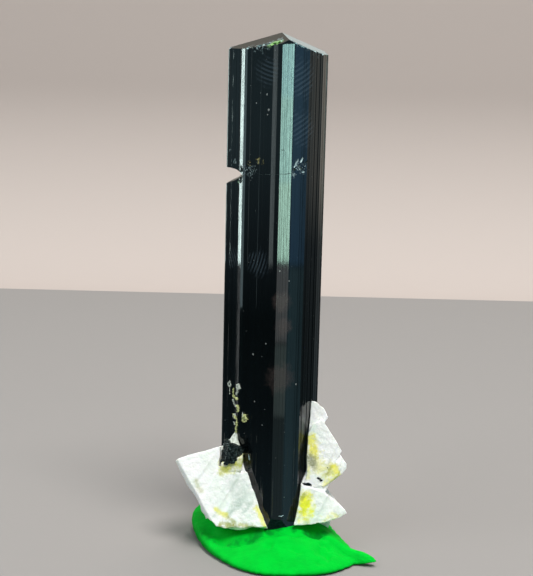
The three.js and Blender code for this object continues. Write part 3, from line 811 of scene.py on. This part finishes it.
# The healed crack runs from the notch across the front, and the crushed band lies along its first part
CRACK = [
    (-3.2, -2.4, 46.0), (-2.02, -3.37, 46.04), (-0.58, -4.56, 46.12), (0.42, -5.28, 46.22),
    (1.78, -4.92, 46.33), (2.3, -4.57, 46.4),
]
CRUSHED = [
    (-4.15, -1.45, 46.1), (-3.77, -1.85, 46.3), (-3.1, -2.48, 46.3), (-2.83, -2.7, 46.5),
    (-2.4, -3.05, 46.9), (-2.36, -3.1, 46.15),
]
CRUSHED_CHIPS = 40
CRUSHED_SPREAD = (0.08, 0.08, 0.16)
CRUSHED_SIZES = (0.05, 0.17)

notch_cutter = slab_cutter(
    "notch", NOTCH, thickness=16, material=DARK_BREAK, grain=0.9, depth=0.10, seed=3.0, cuts=9)
notch_cutter.data.transform(Matrix.Translation((0, NOTCH_MIDDLE * MM, 0)))
carve(crystal, [notch_cutter, crack_cutter(CRACK, width=0.05, material=GREY_BREAK, seed=5)])
rim_chips = [((x, y, point_height(x, y)), *rest) for (x, y), *rest in RIM_CHIPS]
carve(crystal, [shard_cutter(place, size, turn, material, index * 1.7)
                for index, (place, size, turn, material) in enumerate(rim_chips + CHIPS)])
chance = random.Random(23)
for index in range(CRUSHED_CHIPS):
    leg = chance.randrange(len(CRUSHED) - 1)
    spot = Vector(CRUSHED[leg]).lerp(Vector(CRUSHED[leg + 1]), chance.random())
    spot += Vector([chance.gauss(0, spread) for spread in CRUSHED_SPREAD])
    size = [chance.uniform(*CRUSHED_SIZES) for _ in range(3)]
    turn = [chance.uniform(0, 360) for _ in range(3)]
    # Some of the crushed chips get the painted glint
    material = chance.choice((DARK_BREAK, DARK_BREAK, GREY_BREAK, PAINTED_GLINT_BREAK))
    carve(crystal, [shard_cutter(spot, size, turn, material, index * 2.3)])
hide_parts("tourmaline_crystal")
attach(crystal, "root")


# The small tourmaline: a short black crystal that grew beside the foot of the large one and lost its top,
# rough and striated, standing on a ledge of the left feldspar.


def copy_of(node, name, material):
    """A CAD solid's mesh with its loose triangles joined."""
    bm = bmesh.new()
    bm.from_mesh(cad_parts[node].data)
    bmesh.ops.remove_doubles(bm, verts=bm.verts[:], dist=2e-6)
    return mesh_object(name, bm, material)


def remeshed(piece, grain):
    """An even skin of small faces over the piece, with that spacing in mm."""
    modifier = piece.modifiers.new("even_skin", "REMESH")
    modifier.mode = "VOXEL"
    modifier.voxel_size = grain * MM
    settle(piece)


def moved_out(piece, depth_at):
    """Every vertex is moved along its normal by what depth_at says for its place and normal, all in mm."""
    mesh = piece.data
    normals = [vertex.normal.copy() for vertex in mesh.vertices]
    for vertex, normal in zip(mesh.vertices, normals):
        vertex.co += normal * depth_at(vertex.co / MM, normal) * MM
    mesh.update()


# How far the lumps stand out, their fine grain, and how far the whole skin is drawn in
LUMPS_OUT = 0.42
FINE_GRAIN = 0.08
DRAWN_IN = 0.14


def rough_tourmaline(place, normal):
    """Angular lumps with flat bottoms between them, drawn out along the crystal."""
    along = Vector((place.x * 1.7, place.y * 1.7, place.z * 0.8 + place.x * 0.4))
    lumps = noise.voronoi(along)[0]
    return LUMPS_OUT * (lumps[1] - lumps[0]) + FINE_GRAIN * noise.noise(place * 3.1) - DRAWN_IN


STUB_SHIFT = Vector((-0.15, 0.4, 0))
# Its underside follows the sloping ledge that it stands on: a place on it and the way it faces
STUB_FOOT = (-5.6, -3.7, 10.35)
STUB_FOOT_FACING = (0.33, 0.1, -1)
BROKEN_CRYSTAL = fresh_break(
    "broken_crystal", (0.0008, 0.0015, 0.0015, 1), (0.028, 0.038, 0.036, 1), 0.2, shine=0.6)

stub = copy_of("small_tourmaline", "small_tourmaline_broken", BROKEN_CRYSTAL)
stub.data.transform(Matrix.Translation(STUB_SHIFT * MM))
bm = bmesh.new()
bm.from_mesh(stub.data)
cut_by_plane(bm, Vector(STUB_FOOT) * MM, Vector(STUB_FOOT_FACING))
bm.to_mesh(stub.data)
bm.free()
remeshed(stub, grain=0.07)
moved_out(stub, rough_tourmaline)
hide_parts("small_tourmaline")
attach(stub, "root")


# The feldspar: white blades and blocks with flat cleavage faces, yellow iron stains near the crystal
# and a rough broken lower edge. The left block is one crystal, the right is several grown together.

YELLOW = (0.86, 0.80, 0.09, 1)
STRONG_YELLOW = (0.92, 0.90, 0.03, 1)
OLIVE = (0.40, 0.40, 0.08, 1)
LEDGE_YELLOW = (0.62, 0.62, 0.12, 1)
GREY_GREEN = (0.58, 0.66, 0.60, 1)
GREY = (0.24, 0.25, 0.19, 1)
PALE_GREEN = (0.80, 0.91, 0.80, 1)
WARM_WHITE = (0.97, 0.955, 0.935, 1)
COOL_WHITE = (0.87, 0.92, 0.86, 1)
CLOUDY = (0.80, 0.84, 0.79, 1)
# Each stain: from where to where, how far to its sides, its colour and how strong it is
LEFT_STAINS = [
    ((-6.4, -4.0, 8.2), (-5.6, -4.6, 6.0), 1.7, PALE_GREEN, 0.5),
    ((-3.9, -4.1, 8.4), (-3.1, -4.5, 6.6), 1.7, GREY_GREEN, 0.7),
    ((-3.3, -4.6, 6.4), (-4.6, -5.1, 4.8), 0.55, GREY_GREEN, 0.9),
    ((-1.9, -4.6, 6.2), (-3.0, -5.0, 5.0), 0.35, GREY_GREEN, 0.8),
    ((-5.5, -3.5, 9.9), (-3.3, -3.2, 10.8), 0.85, LEDGE_YELLOW, 1.0),
    ((-5.5, -2.8, 10.5), (-3.2, -2.6, 11.4), 0.9, LEDGE_YELLOW, 0.9),
    ((-6.25, -4.96, 5.3), (-5.0, -5.16, 4.65), 0.42, YELLOW, 0.8),
    ((-4.75, -5.23, 4.45), (-3.9, -5.4, 3.9), 0.36, OLIVE, 0.7),
    ((-1.3, -4.83, 5.7), (-0.1, -5.55, 3.5), 0.42, YELLOW, 0.85),
    ((-8.8, -3.9, 8.5), (-8.2, -4.26, 7.4), 0.40, OLIVE, 0.45),
    # These two olive streaks along the bottom edge are partly stain and partly painted shade in the hollow
    # under the block
    ((-5.6, -5.4, 3.65), (-4.2, -5.5, 3.5), 0.5, OLIVE, 0.9),
    ((-3.4, -5.5, 3.6), (-1.7, -5.6, 3.4), 0.5, OLIVE, 0.8),
    ((-3.0, 1.5, 6.0), (-5.0, 2.5, 5.0), 1.6, YELLOW, 0.6),
]
RIGHT_STAINS = [
    ((5.37, -1.93, 15.3), (5.2, -2.2, 13.9), 0.8, PALE_GREEN, 0.9),
    ((5.05, -2.32, 13.6), (5.5, -2.7, 12.1), 1.05, YELLOW, 0.95),
    ((5.6, -3.0, 10.9), (7.8, -3.1, 9.8), 1.35, YELLOW, 0.6),
    ((5.15, -2.9, 11.5), (5.5, -3.1, 10.6), 0.8, GREY, 0.85),
    ((7.3, -3.1, 9.6), (7.7, -3.1, 10.4), 0.45, OLIVE, 0.75),
    ((8.0, -3.0, 10.5), (8.6, -3.0, 9.7), 0.5, YELLOW, 0.8),
    ((9.0, -3.2, 9.6), (7.0, -3.4, 8.2), 0.5, YELLOW, 0.7),
    ((4.9, -3.3, 9.2), (5.0, -3.2, 10.2), 0.45, YELLOW, 0.5),
    ((4.6, -3.8, 7.0), (4.3, -4.3, 4.3), 1.0, YELLOW, 0.9),
    ((4.8, -4.0, 6.2), (4.75, -4.1, 5.0), 1.15, STRONG_YELLOW, 1.0),
    ((4.5, -4.0, 7.2), (4.1, -4.1, 6.6), 0.3, OLIVE, 0.7),
    ((7.2, -4.35, 4.1), (9.3, -4.2, 4.9), 0.32, OLIVE, 0.8),
    ((6.0, -3.8, 3.9), (8.2, -4.3, 4.5), 0.7, YELLOW, 0.5),
    ((6.5, 2.4, 6.0), (7.5, 3.0, 8.0), 1.6, YELLOW, 0.6),
]


def streak_mask():
    """A soft streak: 1 near the line from its start to its end, 0 beyond its reach, with a broken edge."""
    tree, inside, out = group_with(
        "streak",
        [("Vector", "NodeSocketVector", None), ("Start", "NodeSocketVector", None),
         ("End", "NodeSocketVector", None), ("Reach", "NodeSocketFloat", 1.0),
         ("Ragged", "NodeSocketFloat", 0.0)],
        [("Mask", "NodeSocketFloat")],
    )
    start = inside.outputs["Start"]
    line = vector_math(tree, "SUBTRACT", inside.outputs["End"], start).outputs[0]
    away = vector_math(tree, "SUBTRACT", inside.outputs["Vector"], start).outputs[0]
    reached = vector_math(tree, "DOT_PRODUCT", away, line).outputs["Value"]
    whole = vector_math(tree, "DOT_PRODUCT", line, line).outputs["Value"]
    share = combined(tree, "DIVIDE", reached, whole)
    nearest = tree.nodes.new("ShaderNodeVectorMath")
    nearest.operation = "SCALE"
    tree.links.new(line, nearest.inputs[0])
    tree.links.new(remapped(tree, share, 0.0, 1.0), nearest.inputs["Scale"])
    distance = vector_math(tree, "DISTANCE", away, nearest.outputs[0]).outputs["Value"]
    distance = combined(tree, "DIVIDE", distance, inside.outputs["Reach"])
    pushed = combined(tree, "ADD", distance, inside.outputs["Ragged"])
    tree.links.new(remapped(tree, pushed, 1.15, 0.1, smooth=True), out.inputs["Mask"])
    return tree


STREAK = streak_mask()


def feldspar(name, stains):
    """White feldspar: faintly translucent, cloudy, with yellow, olive and grey-green stains, and painted
    shade in some olive ones along the bottom edge.
    """
    material, tree, shader = new_material(name)
    here = in_millimetres(tree)
    cloud = stretched_noise(tree, here, (0.55, 0.55, 0.55), detail=5.0, roughness=0.6)
    grain = stretched_noise(tree, here, (5.5, 5.5, 5.5), detail=4.0, roughness=0.7)
    veins = stretched_noise(tree, here, (1.1, 1.1, 3.0), detail=3.0)
    ragged = stretched_noise(tree, here, (1.5, 1.5, 1.5), detail=6.0, roughness=0.7)
    push = remapped(tree, ragged, 0.25, 0.75, -0.75, 0.75)
    cloudy = remapped(tree, cloud, 0.42, 0.70, smooth=True)
    colour = tinted(tree, cloudy, WARM_WHITE, COOL_WHITE)
    colour = tinted(tree, remapped(tree, veins, 0.62, 0.80), colour, CLOUDY)
    patchy = remapped(tree, grain, 0.28, 0.58, 0.72, 1.0)
    for start, end, reach, stain_colour, strength in stains:
        streak = placed(tree, STREAK, {"Start": start, "End": end, "Reach": reach})
        tree.links.new(here, streak.inputs["Vector"])
        tree.links.new(push, streak.inputs["Ragged"])
        share = combined(tree, "MULTIPLY", streak.outputs["Mask"], patchy)
        colour = laid_over(tree, colour, share, strength, stain_colour)
    tree.links.new(colour, shader.inputs["Base Color"])
    tree.links.new(remapped(tree, grain, 0.3, 0.7, 0.38, 0.62), shader.inputs["Roughness"])
    set_values(shader, {"IOR": 1.53, "Subsurface Weight": 0.25, "Subsurface Radius": (1.0, 0.95, 0.8),
                        "Subsurface Scale": 0.4 * MM})
    bumped(tree, shader, combined(tree, "ADD", grain, ragged), 0.4, 0.05)
    return material


def smooth_step(value, low, high):
    """0 below low, 1 above high and an even curve between."""
    share = max(0.0, min(1.0, (value - low) / (high - low)))
    return share * share * (3 - 2 * share)


# How deep the steps along the cleavage are, and how rough the lower edge is, between these heights
STEP_DEPTH = 0.08
CRUMBLE = 0.22
CRUMBLY_BELOW = 3.3
SOUND_ABOVE = 4.3


def cleaved(place, normal):
    """Fine grain, a few low steps along the cleavage, and a crumbly lower edge."""
    grain = 0.04 * noise.noise(place * 1.7) + 0.02 * noise.noise(place * 5.0)
    slanted = Vector((place.x * 0.5 - place.z * 0.28, place.y * 0.2, 3.3))
    step = smooth_step(noise.noise(slanted * 1.3), 0.0, 0.3)
    low = smooth_step(-place.z, -SOUND_ABOVE, -CRUMBLY_BELOW)
    crumble = low * CRUMBLE * noise.noise(place + Vector((4, 2, 7)))
    return grain - STEP_DEPTH * step + crumble


# The sloping ledge of the left block, stained yellow, that the small tourmaline stands on
LEDGE = [
    (-5.7, -3.55, 9.5), (-3.3, -3.5, 9.8), (-5.8, -3.45, 10.7), (-3.2, -3.35, 11.6),
    (-5.8, -2.0, 10.9), (-3.1, -1.9, 11.8), (-5.8, -2.0, 9.3), (-3.1, -1.9, 9.3),
]


def with_lump(piece, corners):
    """Adds the closed shape that spans the corners to the piece's mesh; a later even skin joins them."""
    bm = bmesh.new()
    bm.from_mesh(piece.data)
    spanned = bmesh.new()
    for corner in corners:
        spanned.verts.new(Vector(corner) * MM)
    bmesh.ops.convex_hull(spanned, input=spanned.verts[:])
    lump = bpy.data.meshes.new("lump")
    spanned.to_mesh(lump)
    spanned.free()
    bm.from_mesh(lump)
    bm.to_mesh(piece.data)
    bm.free()


left_block = copy_of("feldspar_left", "feldspar_left_block", feldspar("left_feldspar", LEFT_STAINS))
with_lump(left_block, LEDGE)
remeshed(left_block, grain=0.10)
moved_out(left_block, cleaved)
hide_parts("feldspar_left")
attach(left_block, "root")

# Where the right blades are grown together, so that no open joint shows between them
GROWN_TOGETHER = [
    (4.5, -3.50, 8.1), (6.9, -3.50, 8.0), (8.5, -3.25, 9.3), (8.9, -3.05, 10.2), (8.9, -2.85, 11.2),
    (4.9, -3.05, 10.3), (4.6, -2.2, 8.2), (6.9, -2.2, 8.2), (8.5, -2.2, 9.3), (8.8, -2.0, 11.2),
    (4.9, -2.0, 10.5),
]
# Small dark tourmaline grains in the feldspar: place, sizes and turns
DARK_GRAINS = [
    ((4.95, -3.52, 8.30), (0.62, 0.14, 0.24), (0, -4, 0)),
    ((4.45, -3.50, 8.36), (0.34, 0.12, 0.10), (0, 6, 0)),
    ((6.20, -3.28, 8.98), (0.30, 0.12, 0.18), (0, 20, 0)),
    ((6.52, -3.30, 8.78), (0.16, 0.10, 0.22), (0, 30, 0)),
    ((7.3, -2.95, 10.3), (0.12, 0.10, 0.08), (0, 20, 0)),
]


def crumb(bm, place, size, turn, seed, material_index):
    """A small angular grain added to the mesh."""
    made = bmesh.ops.create_icosphere(bm, subdivisions=1, radius=MM)
    for vertex in made["verts"]:
        vertex.co *= 0.95 + 0.7 * noise.noise(vertex.co / (0.8 * MM) + Vector((seed, 0, seed)))
    bmesh.ops.scale(bm, verts=made["verts"], vec=size)
    bmesh.ops.rotate(bm, verts=made["verts"], matrix=turned_by(turn))
    bmesh.ops.translate(bm, verts=made["verts"], vec=Vector(place) * MM)
    for face in {face for vertex in made["verts"] for face in vertex.link_faces}:
        face.material_index = material_index


right_blades = copy_of("feldspar_right", "feldspar_right_blades", feldspar("right_feldspar", RIGHT_STAINS))
with_lump(right_blades, GROWN_TOGETHER)
remeshed(right_blades, grain=0.10)
moved_out(right_blades, cleaved)
right_blades.data.materials.append(BLACK_TOURMALINE)
bm = bmesh.new()
bm.from_mesh(right_blades.data)
for index, (place, size, turn) in enumerate(DARK_GRAINS):
    crumb(bm, place, size, turn, index * 4.1, 1)
bm.to_mesh(right_blades.data)
bm.free()
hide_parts("feldspar_right")
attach(right_blades, "root")


# The crumbs: pale and yellow-green grains of feldspar and clay, stuck to the crystal's left side in a
# trail of rings and streaks that runs down to the small tourmaline.

# Each mark: from where to where, half width, grain size, count and material (0 pale, 1 yellow-green).
# A streak that ends where it starts is a ring, and its half width is the ring's radius.
CRUMB_MARKS = [
    ((-5.03, -0.13, 19.87), (-5.03, -0.13, 19.87), 0.26, 0.12, 12, 0),
    ((-5.0, -0.2, 19.5), (-4.98, -0.2, 18.6), 0.02, 0.04, 16, 0),
    ((-3.88, -1.73, 19.95), (-3.88, -1.73, 19.95), 0.24, 0.13, 11, 0),
    ((-3.92, -1.7, 19.75), (-4.05, -1.55, 18.9), 0.12, 0.12, 14, 0),
    ((-4.5, -0.85, 19.5), (-4.45, -0.98, 18.5), 0.08, 0.12, 12, 1),
    ((-4.45, -1.0, 18.6), (-4.0, -1.6, 18.35), 0.18, 0.15, 16, 1),
    ((-4.53, -0.9, 18.1), (-4.2, -1.3, 17.35), 0.06, 0.11, 12, 0),
    ((-3.95, -1.7, 17.6), (-3.85, -1.78, 16.85), 0.11, 0.13, 12, 1),
    ((-4.45, -1.05, 16.25), (-4.05, -1.55, 15.85), 0.06, 0.16, 7, 1),
    ((-4.29, -1.25, 16.05), (-4.29, -1.25, 16.05), 0.26, 0.10, 10, 0),
    ((-3.05, -2.55, 16.15), (-3.05, -2.55, 16.15), 0.36, 0.15, 16, 1),
    ((-3.3, -2.34, 16.75), (-3.2, -2.42, 16.35), 0.06, 0.10, 6, 0),
    ((-4.37, -1.15, 15.3), (-4.2, -1.35, 15.05), 0.05, 0.10, 6, 0),
    ((-3.98, -1.66, 15.5), (-4.1, -1.5, 14.0), 0.09, 0.12, 20, 1),
    ((-3.05, -2.5, 16.1), (-3.05, -2.5, 16.3), 0.10, 0.08, 8, 1),
]
# The flat grey-white shard between the trail and the small crystal: its thickness and its front's corners
SHARD_THICKNESS = (0.15, 0.3, -0.05)
SHARD = [
    (-4.22, -1.66, 14.15), (-4.45, -1.75, 13.9), (-4.8, -1.95, 13.35), (-5.45, -1.75, 12.95),
    (-5.3, -2.1, 12.8), (-4.5, -2.55, 13.05), (-4.1, -2.6, 13.0), (-3.7, -2.6, 12.75),
    (-3.95, -2.3, 13.3), (-4.0, -1.95, 13.9),
]


# The level way along the crystal's side where the crumbs lie
ALONG_SIDE = Vector((0.62, -0.78, 0))


def dull_grains(name, pale, dark):
    material, tree, shader = new_material(name)
    here = in_millimetres(tree)
    grain = stretched_noise(tree, here, (3.5, 3.5, 3.5), detail=5.0, roughness=0.7)
    colour = tinted(tree, remapped(tree, grain, 0.40, 0.62), pale, dark)
    tree.links.new(colour, shader.inputs["Base Color"])
    shader.inputs["Roughness"].default_value = 0.7
    bumped(tree, shader, grain, 0.7, 0.05)
    return material


bm = bmesh.new()
chance = random.Random(7)
for mark, (start, end, reach, size, count, material_index) in enumerate(CRUMB_MARKS):
    start, end = Vector(start), Vector(end)
    for index in range(count):
        along = index / max(1, count - 1)
        if start == end:
            turn = 2 * math.pi * index / count
            ring = reach * chance.uniform(0.8, 1.1)
            shift = ALONG_SIDE * math.cos(turn) * ring + Vector((0, 0, math.sin(turn) * ring * 1.15))
        else:
            shift = ALONG_SIDE * chance.uniform(-reach, reach)
        place = start.lerp(end, along) + shift + Vector((-0.03, -0.03, chance.uniform(-0.03, 0.03)))
        sizes = [size * chance.uniform(0.4, 1.7) for _ in range(3)]
        crumb(bm, place, sizes, (0, 0, chance.uniform(0, 360)), mark * 3.1 + index, material_index)
pull_out(bm, SHARD, SHARD_THICKNESS)
bmesh.ops.recalc_face_normals(bm, faces=bm.faces[:])
PALE_CRUMBS = dull_grains("pale_crumbs", (0.78, 0.82, 0.74, 1), (0.42, 0.45, 0.38, 1))
YELLOW_CRUMBS = dull_grains("yellow_crumbs", (0.72, 0.76, 0.36, 1), (0.34, 0.36, 0.14, 1))
trail = mesh_object("crumb_trail", bm, PALE_CRUMBS)
trail.data.materials.append(YELLOW_CRUMBS)
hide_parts("feldspar_crumbs")
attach(trail, "root")


# The putty: a ball of bright green modelling putty pressed flat by hand under the specimen,
# with a pulled-out tip at the right, finger dents, folds and a thin lifted rim.

PUTTY_CENTRE = Vector((1.0, -1.6))
PUTTY_OUTLINE = [
    (-9.65, 2.6), (-9.0, -1.5), (-7.5, -5.4), (-5.2, -8.9), (-3.05, -11.0), (-0.5, -12.3), (3.3, -12.4),
    (7.3, -11.5), (9.3, -10.0), (10.75, -8.55), (11.6, -8.75), (12.9, -8.85), (13.2, -8.35), (12.2, -7.95),
    (11.3, -6.8), (10.5, -4.3), (9.4, -2.0), (8.2, 0.4), (7.0, 3.7), (5.6, 7.2), (2.9, 9.3), (-1.4, 9.84),
    (-5.6, 8.7), (-8.5, 6.0),
]
PUTTY_COLUMNS = 312
PUTTY_CROWN = 3.2
# How high the rim stands at the front, how much more at the back, and how high at the thin tip
FRONT_RIM = 0.6
BACK_RIM_MORE = 1.7
TIP_RIM = 0.28
# The tip at the right curls up off the table by this much
TIP_LIFT = 0.5
# The soft waves of its top: how high, and how many in a millimetre
WAVES = [(0.12, 0.45), (0.05, 1.3)]
# Dents pressed by fingers and by the specimen: x, y, radius and depth
DENTS = [
    (-7.0, -3.2, 1.2, 0.70), (-5.3, -5.4, 1.3, 1.05), (-3.5, -6.7, 0.9, 0.75), (-2.0, -6.2, 1.2, 0.95),
    (0.5, -5.8, 1.1, 0.75), (3.4, -5.7, 1.1, 0.65), (5.9, -4.6, 1.15, 1.45), (9.6, -6.8, 1.6, 0.40),
    (6.5, -8.7, 0.8, 0.55), (1.5, -10.2, 2.0, 0.20), (-4.6, 7.2, 1.8, 0.6), (3.6, 6.9, 1.7, 0.5),
]
# Creases where the putty was folded: from x, y to x, y, with width and depth, below zero for a raised fold
CREASES = [
    (-7.7, -4.6, -4.75, -7.6, 0.7, -0.30), (-4.75, -7.6, -1.8, -7.7, 0.7, -0.32),
    (-1.8, -7.7, 4.6, -6.8, 0.7, -0.28), (6.1, -7.5, 7.3, -7.0, 0.30, 0.40),
    (7.3, -7.0, 7.55, -8.4, 0.28, 0.50), (7.55, -8.4, 7.0, -10.2, 0.30, 0.50),
    (7.0, -10.2, 5.6, -10.9, 0.35, 0.36), (-7.2, -7.0, -5.5, -6.6, 0.22, 0.30),
    (-0.4, -12.0, 0.95, -11.3, 0.22, 0.26), (0.94, -10.7, 2.9, -10.4, 0.25, 0.26),
    (0.0, -9.2, 0.9, -7.7, 0.25, 0.30), (2.4, -8.6, 4.6, -9.6, 0.30, 0.26),
    (9.6, -8.9, 11.2, -8.3, 0.28, 0.22), (-7.5, 3.5, -4.2, 8.0, 0.35, 0.4), (2.0, 8.6, 6.3, 5.6, 0.35, 0.4),
]


def rim_point(share):
    """A point on the smooth closed curve through the outline, share being how far round it is."""
    place = share * len(PUTTY_OUTLINE)
    index, t = int(place), place - int(place)
    p0, p1, p2, p3 = (Vector(PUTTY_OUTLINE[(index + step) % len(PUTTY_OUTLINE)]) for step in (-1, 0, 1, 2))
    d0, d1, d2 = ((b - a).length ** 0.5 for a, b in ((p0, p1), (p1, p2), (p2, p3)))
    leave = ((p1 - p0) / d0 - (p2 - p0) / (d0 + d1) + (p2 - p1) / d1) * d1
    arrive = ((p2 - p1) / d1 - (p3 - p1) / (d1 + d2) + (p3 - p2) / d2) * d1
    return (p1 * (2 * t ** 3 - 3 * t * t + 1) + leave * (t ** 3 - 2 * t * t + t)
            + p2 * (3 * t * t - 2 * t ** 3) + arrive * (t ** 3 - t * t))


def crease_depth(point, crease):
    x0, y0, x1, y1, width, depth = crease
    start, end = Vector((x0, y0)), Vector((x1, y1))
    line = end - start
    share = max(0.0, min(1.0, (point - start).dot(line) / line.length_squared))
    bend = 0.2 * noise.noise(Vector((point.x, point.y, 3.0)) * 0.9)
    distance = ((point - (start + line * share)).length + bend) / width
    fade = math.sin(math.pi * min(0.97, max(0.03, share)))
    return depth * fade * math.exp(-distance * distance)


def putty_top(point, share, rim):
    """Height of the top of the putty at a point, and share is how far out to the rim it lies."""
    tail = smooth_step(rim.x, 6, 12.5)
    edge = (FRONT_RIM + BACK_RIM_MORE * smooth_step(rim.y, -13, 5)) * (1 - tail) + TIP_RIM * tail
    inner = 1 - share ** (2.6 - 0.9 * smooth_step(-rim.x, 1, 7) * smooth_step(-rim.y, -2, 4))
    top = edge + (PUTTY_CROWN - edge) * inner
    soft = min(1.0, inner * 3)
    for x, y, radius, depth in DENTS:
        distance = (point - Vector((x, y))).length / radius
        top -= depth * math.exp(-distance * distance) * soft
    for crease in CREASES:
        top -= crease_depth(point, crease) * soft
    flat = Vector((point.x, point.y, 0))
    return top + sum(height * noise.noise(flat * often) for height, often in WAVES) * soft


# Hollows that were pressed under the specimen, where painted shade darkens the putty: x, y, z and radius
PAINTED_SHADE_HOLLOWS = [
    (-8.0, -3.6, 2.2, 1.0), (-6.9, -4.7, 2.2, 1.2), (-5.8, -5.5, 2.1, 1.3), (-4.6, -6.0, 2.1, 1.3),
    (-3.4, -6.1, 2.1, 1.3), (-2.2, -5.9, 2.2, 1.3), (-1.0, -5.4, 2.3, 1.1), (0.2, -4.9, 2.4, 0.9),
    (1.6, -4.6, 2.6, 0.7), (3.2, -4.5, 2.6, 0.7), (4.6, -4.6, 2.0, 1.0), (5.5, -4.6, 1.6, 1.3),
    (6.4, -4.2, 1.8, 1.2), (7.2, -3.7, 2.2, 0.8), (7.3, -8.9, 1.9, 0.5),
]
BRIGHT_GREEN = (0.0005, 0.52, 0.030, 1)
DEEPER_GREEN = (0.001, 0.43, 0.026, 1)
PAINTED_SHADE_GREEN = (0.002, 0.16, 0.016, 1)


def putty_material():
    """Bright green oil-bound putty: satin, slightly waxy, faintly cloudy, with painted shade in the pressed
    hollows and finger marks.
    """
    material, tree, shader = new_material("green_putty")
    here = in_millimetres(tree)
    cloud = stretched_noise(tree, here, (0.5, 0.5, 0.5), detail=4.0)
    grain = stretched_noise(tree, here, (6.0, 6.0, 6.0), detail=4.0, roughness=0.7)
    wrinkles = stretched_noise(tree, here, (1.5, 2.6, 1.5), detail=4.0, roughness=0.6)
    colour = tinted(tree, remapped(tree, cloud, 0.35, 0.7), BRIGHT_GREEN, DEEPER_GREEN)
    # Painted shade: the hollows under the specimen are darkened in colour
    pressed = spots(tree, here, PAINTED_SHADE_HOLLOWS, 1.0)
    colour = laid_over(tree, colour, pressed, 0.75, PAINTED_SHADE_GREEN)
    tree.links.new(colour, shader.inputs["Base Color"])
    tree.links.new(remapped(tree, grain, 0.3, 0.7, 0.50, 0.66), shader.inputs["Roughness"])
    set_values(shader, {"IOR": 1.46, "Specular IOR Level": 0.05, "Subsurface Weight": 0.12,
                        "Subsurface Radius": (0.3, 1.0, 0.3), "Subsurface Scale": 0.5 * MM})
    relief = combined(tree, "ADD", wrinkles, combined(tree, "MULTIPLY", grain, 0.25))
    bumped(tree, shader, relief, 0.6, 0.2)
    return material


# From the middle of the underside out and round the rim, as shares of the radius and of the height,
# and then back over the top in even rings
UNDERSIDE_AND_RIM = [
    (0, 0), (0.4, 0), (0.75, 0), (0.93, 0), (0.965, 0.08), (0.985, 0.28), (1.0, 0.62), (0.993, 0.85),
    (0.975, 1),
]
TOP_RINGS = 44
top_edge = UNDERSIDE_AND_RIM[-1][0]
profile = UNDERSIDE_AND_RIM + [(top_edge * (1 - ring / TOP_RINGS), 1) for ring in range(1, TOP_RINGS + 1)]
bm = bmesh.new()
chain = [bm.verts.new((share, 0, height)) for share, height in profile]
links_between = [bm.edges.new(pair) for pair in zip(chain, chain[1:])]
bmesh.ops.spin(bm, geom=chain + links_between, cent=(0, 0, 0), axis=(0, 0, 1), angle=2 * math.pi,
               steps=PUTTY_COLUMNS, use_merge=True)
bmesh.ops.remove_doubles(bm, verts=bm.verts[:], dist=1e-5)
for vertex in bm.verts:
    share = math.hypot(vertex.co.x, vertex.co.y)
    turn = (math.atan2(vertex.co.y, vertex.co.x) / (2 * math.pi)) % 1.0
    rim = rim_point(turn)
    ragged = 0.10 * noise.noise(Vector((rim.x, rim.y, 0)) * 1.1) * smooth_step(share, 0.8, 1.0)
    point = PUTTY_CENTRE + (rim - PUTTY_CENTRE) * share * (1 - abs(ragged) * 0.25)
    lift = TIP_LIFT * smooth_step(point.x, 10.0, 13.0)
    vertex.co = Vector((point.x, point.y, vertex.co.z * putty_top(point, share, rim) + lift)) * MM
bmesh.ops.recalc_face_normals(bm, faces=bm.faces[:])
putty = mesh_object("putty_lump", bm, putty_material(), smooth=True)
# The black faces don't mirror it, as they don't mirror the table
putty.visible_glossy = False
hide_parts("putty")
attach(putty, "root")
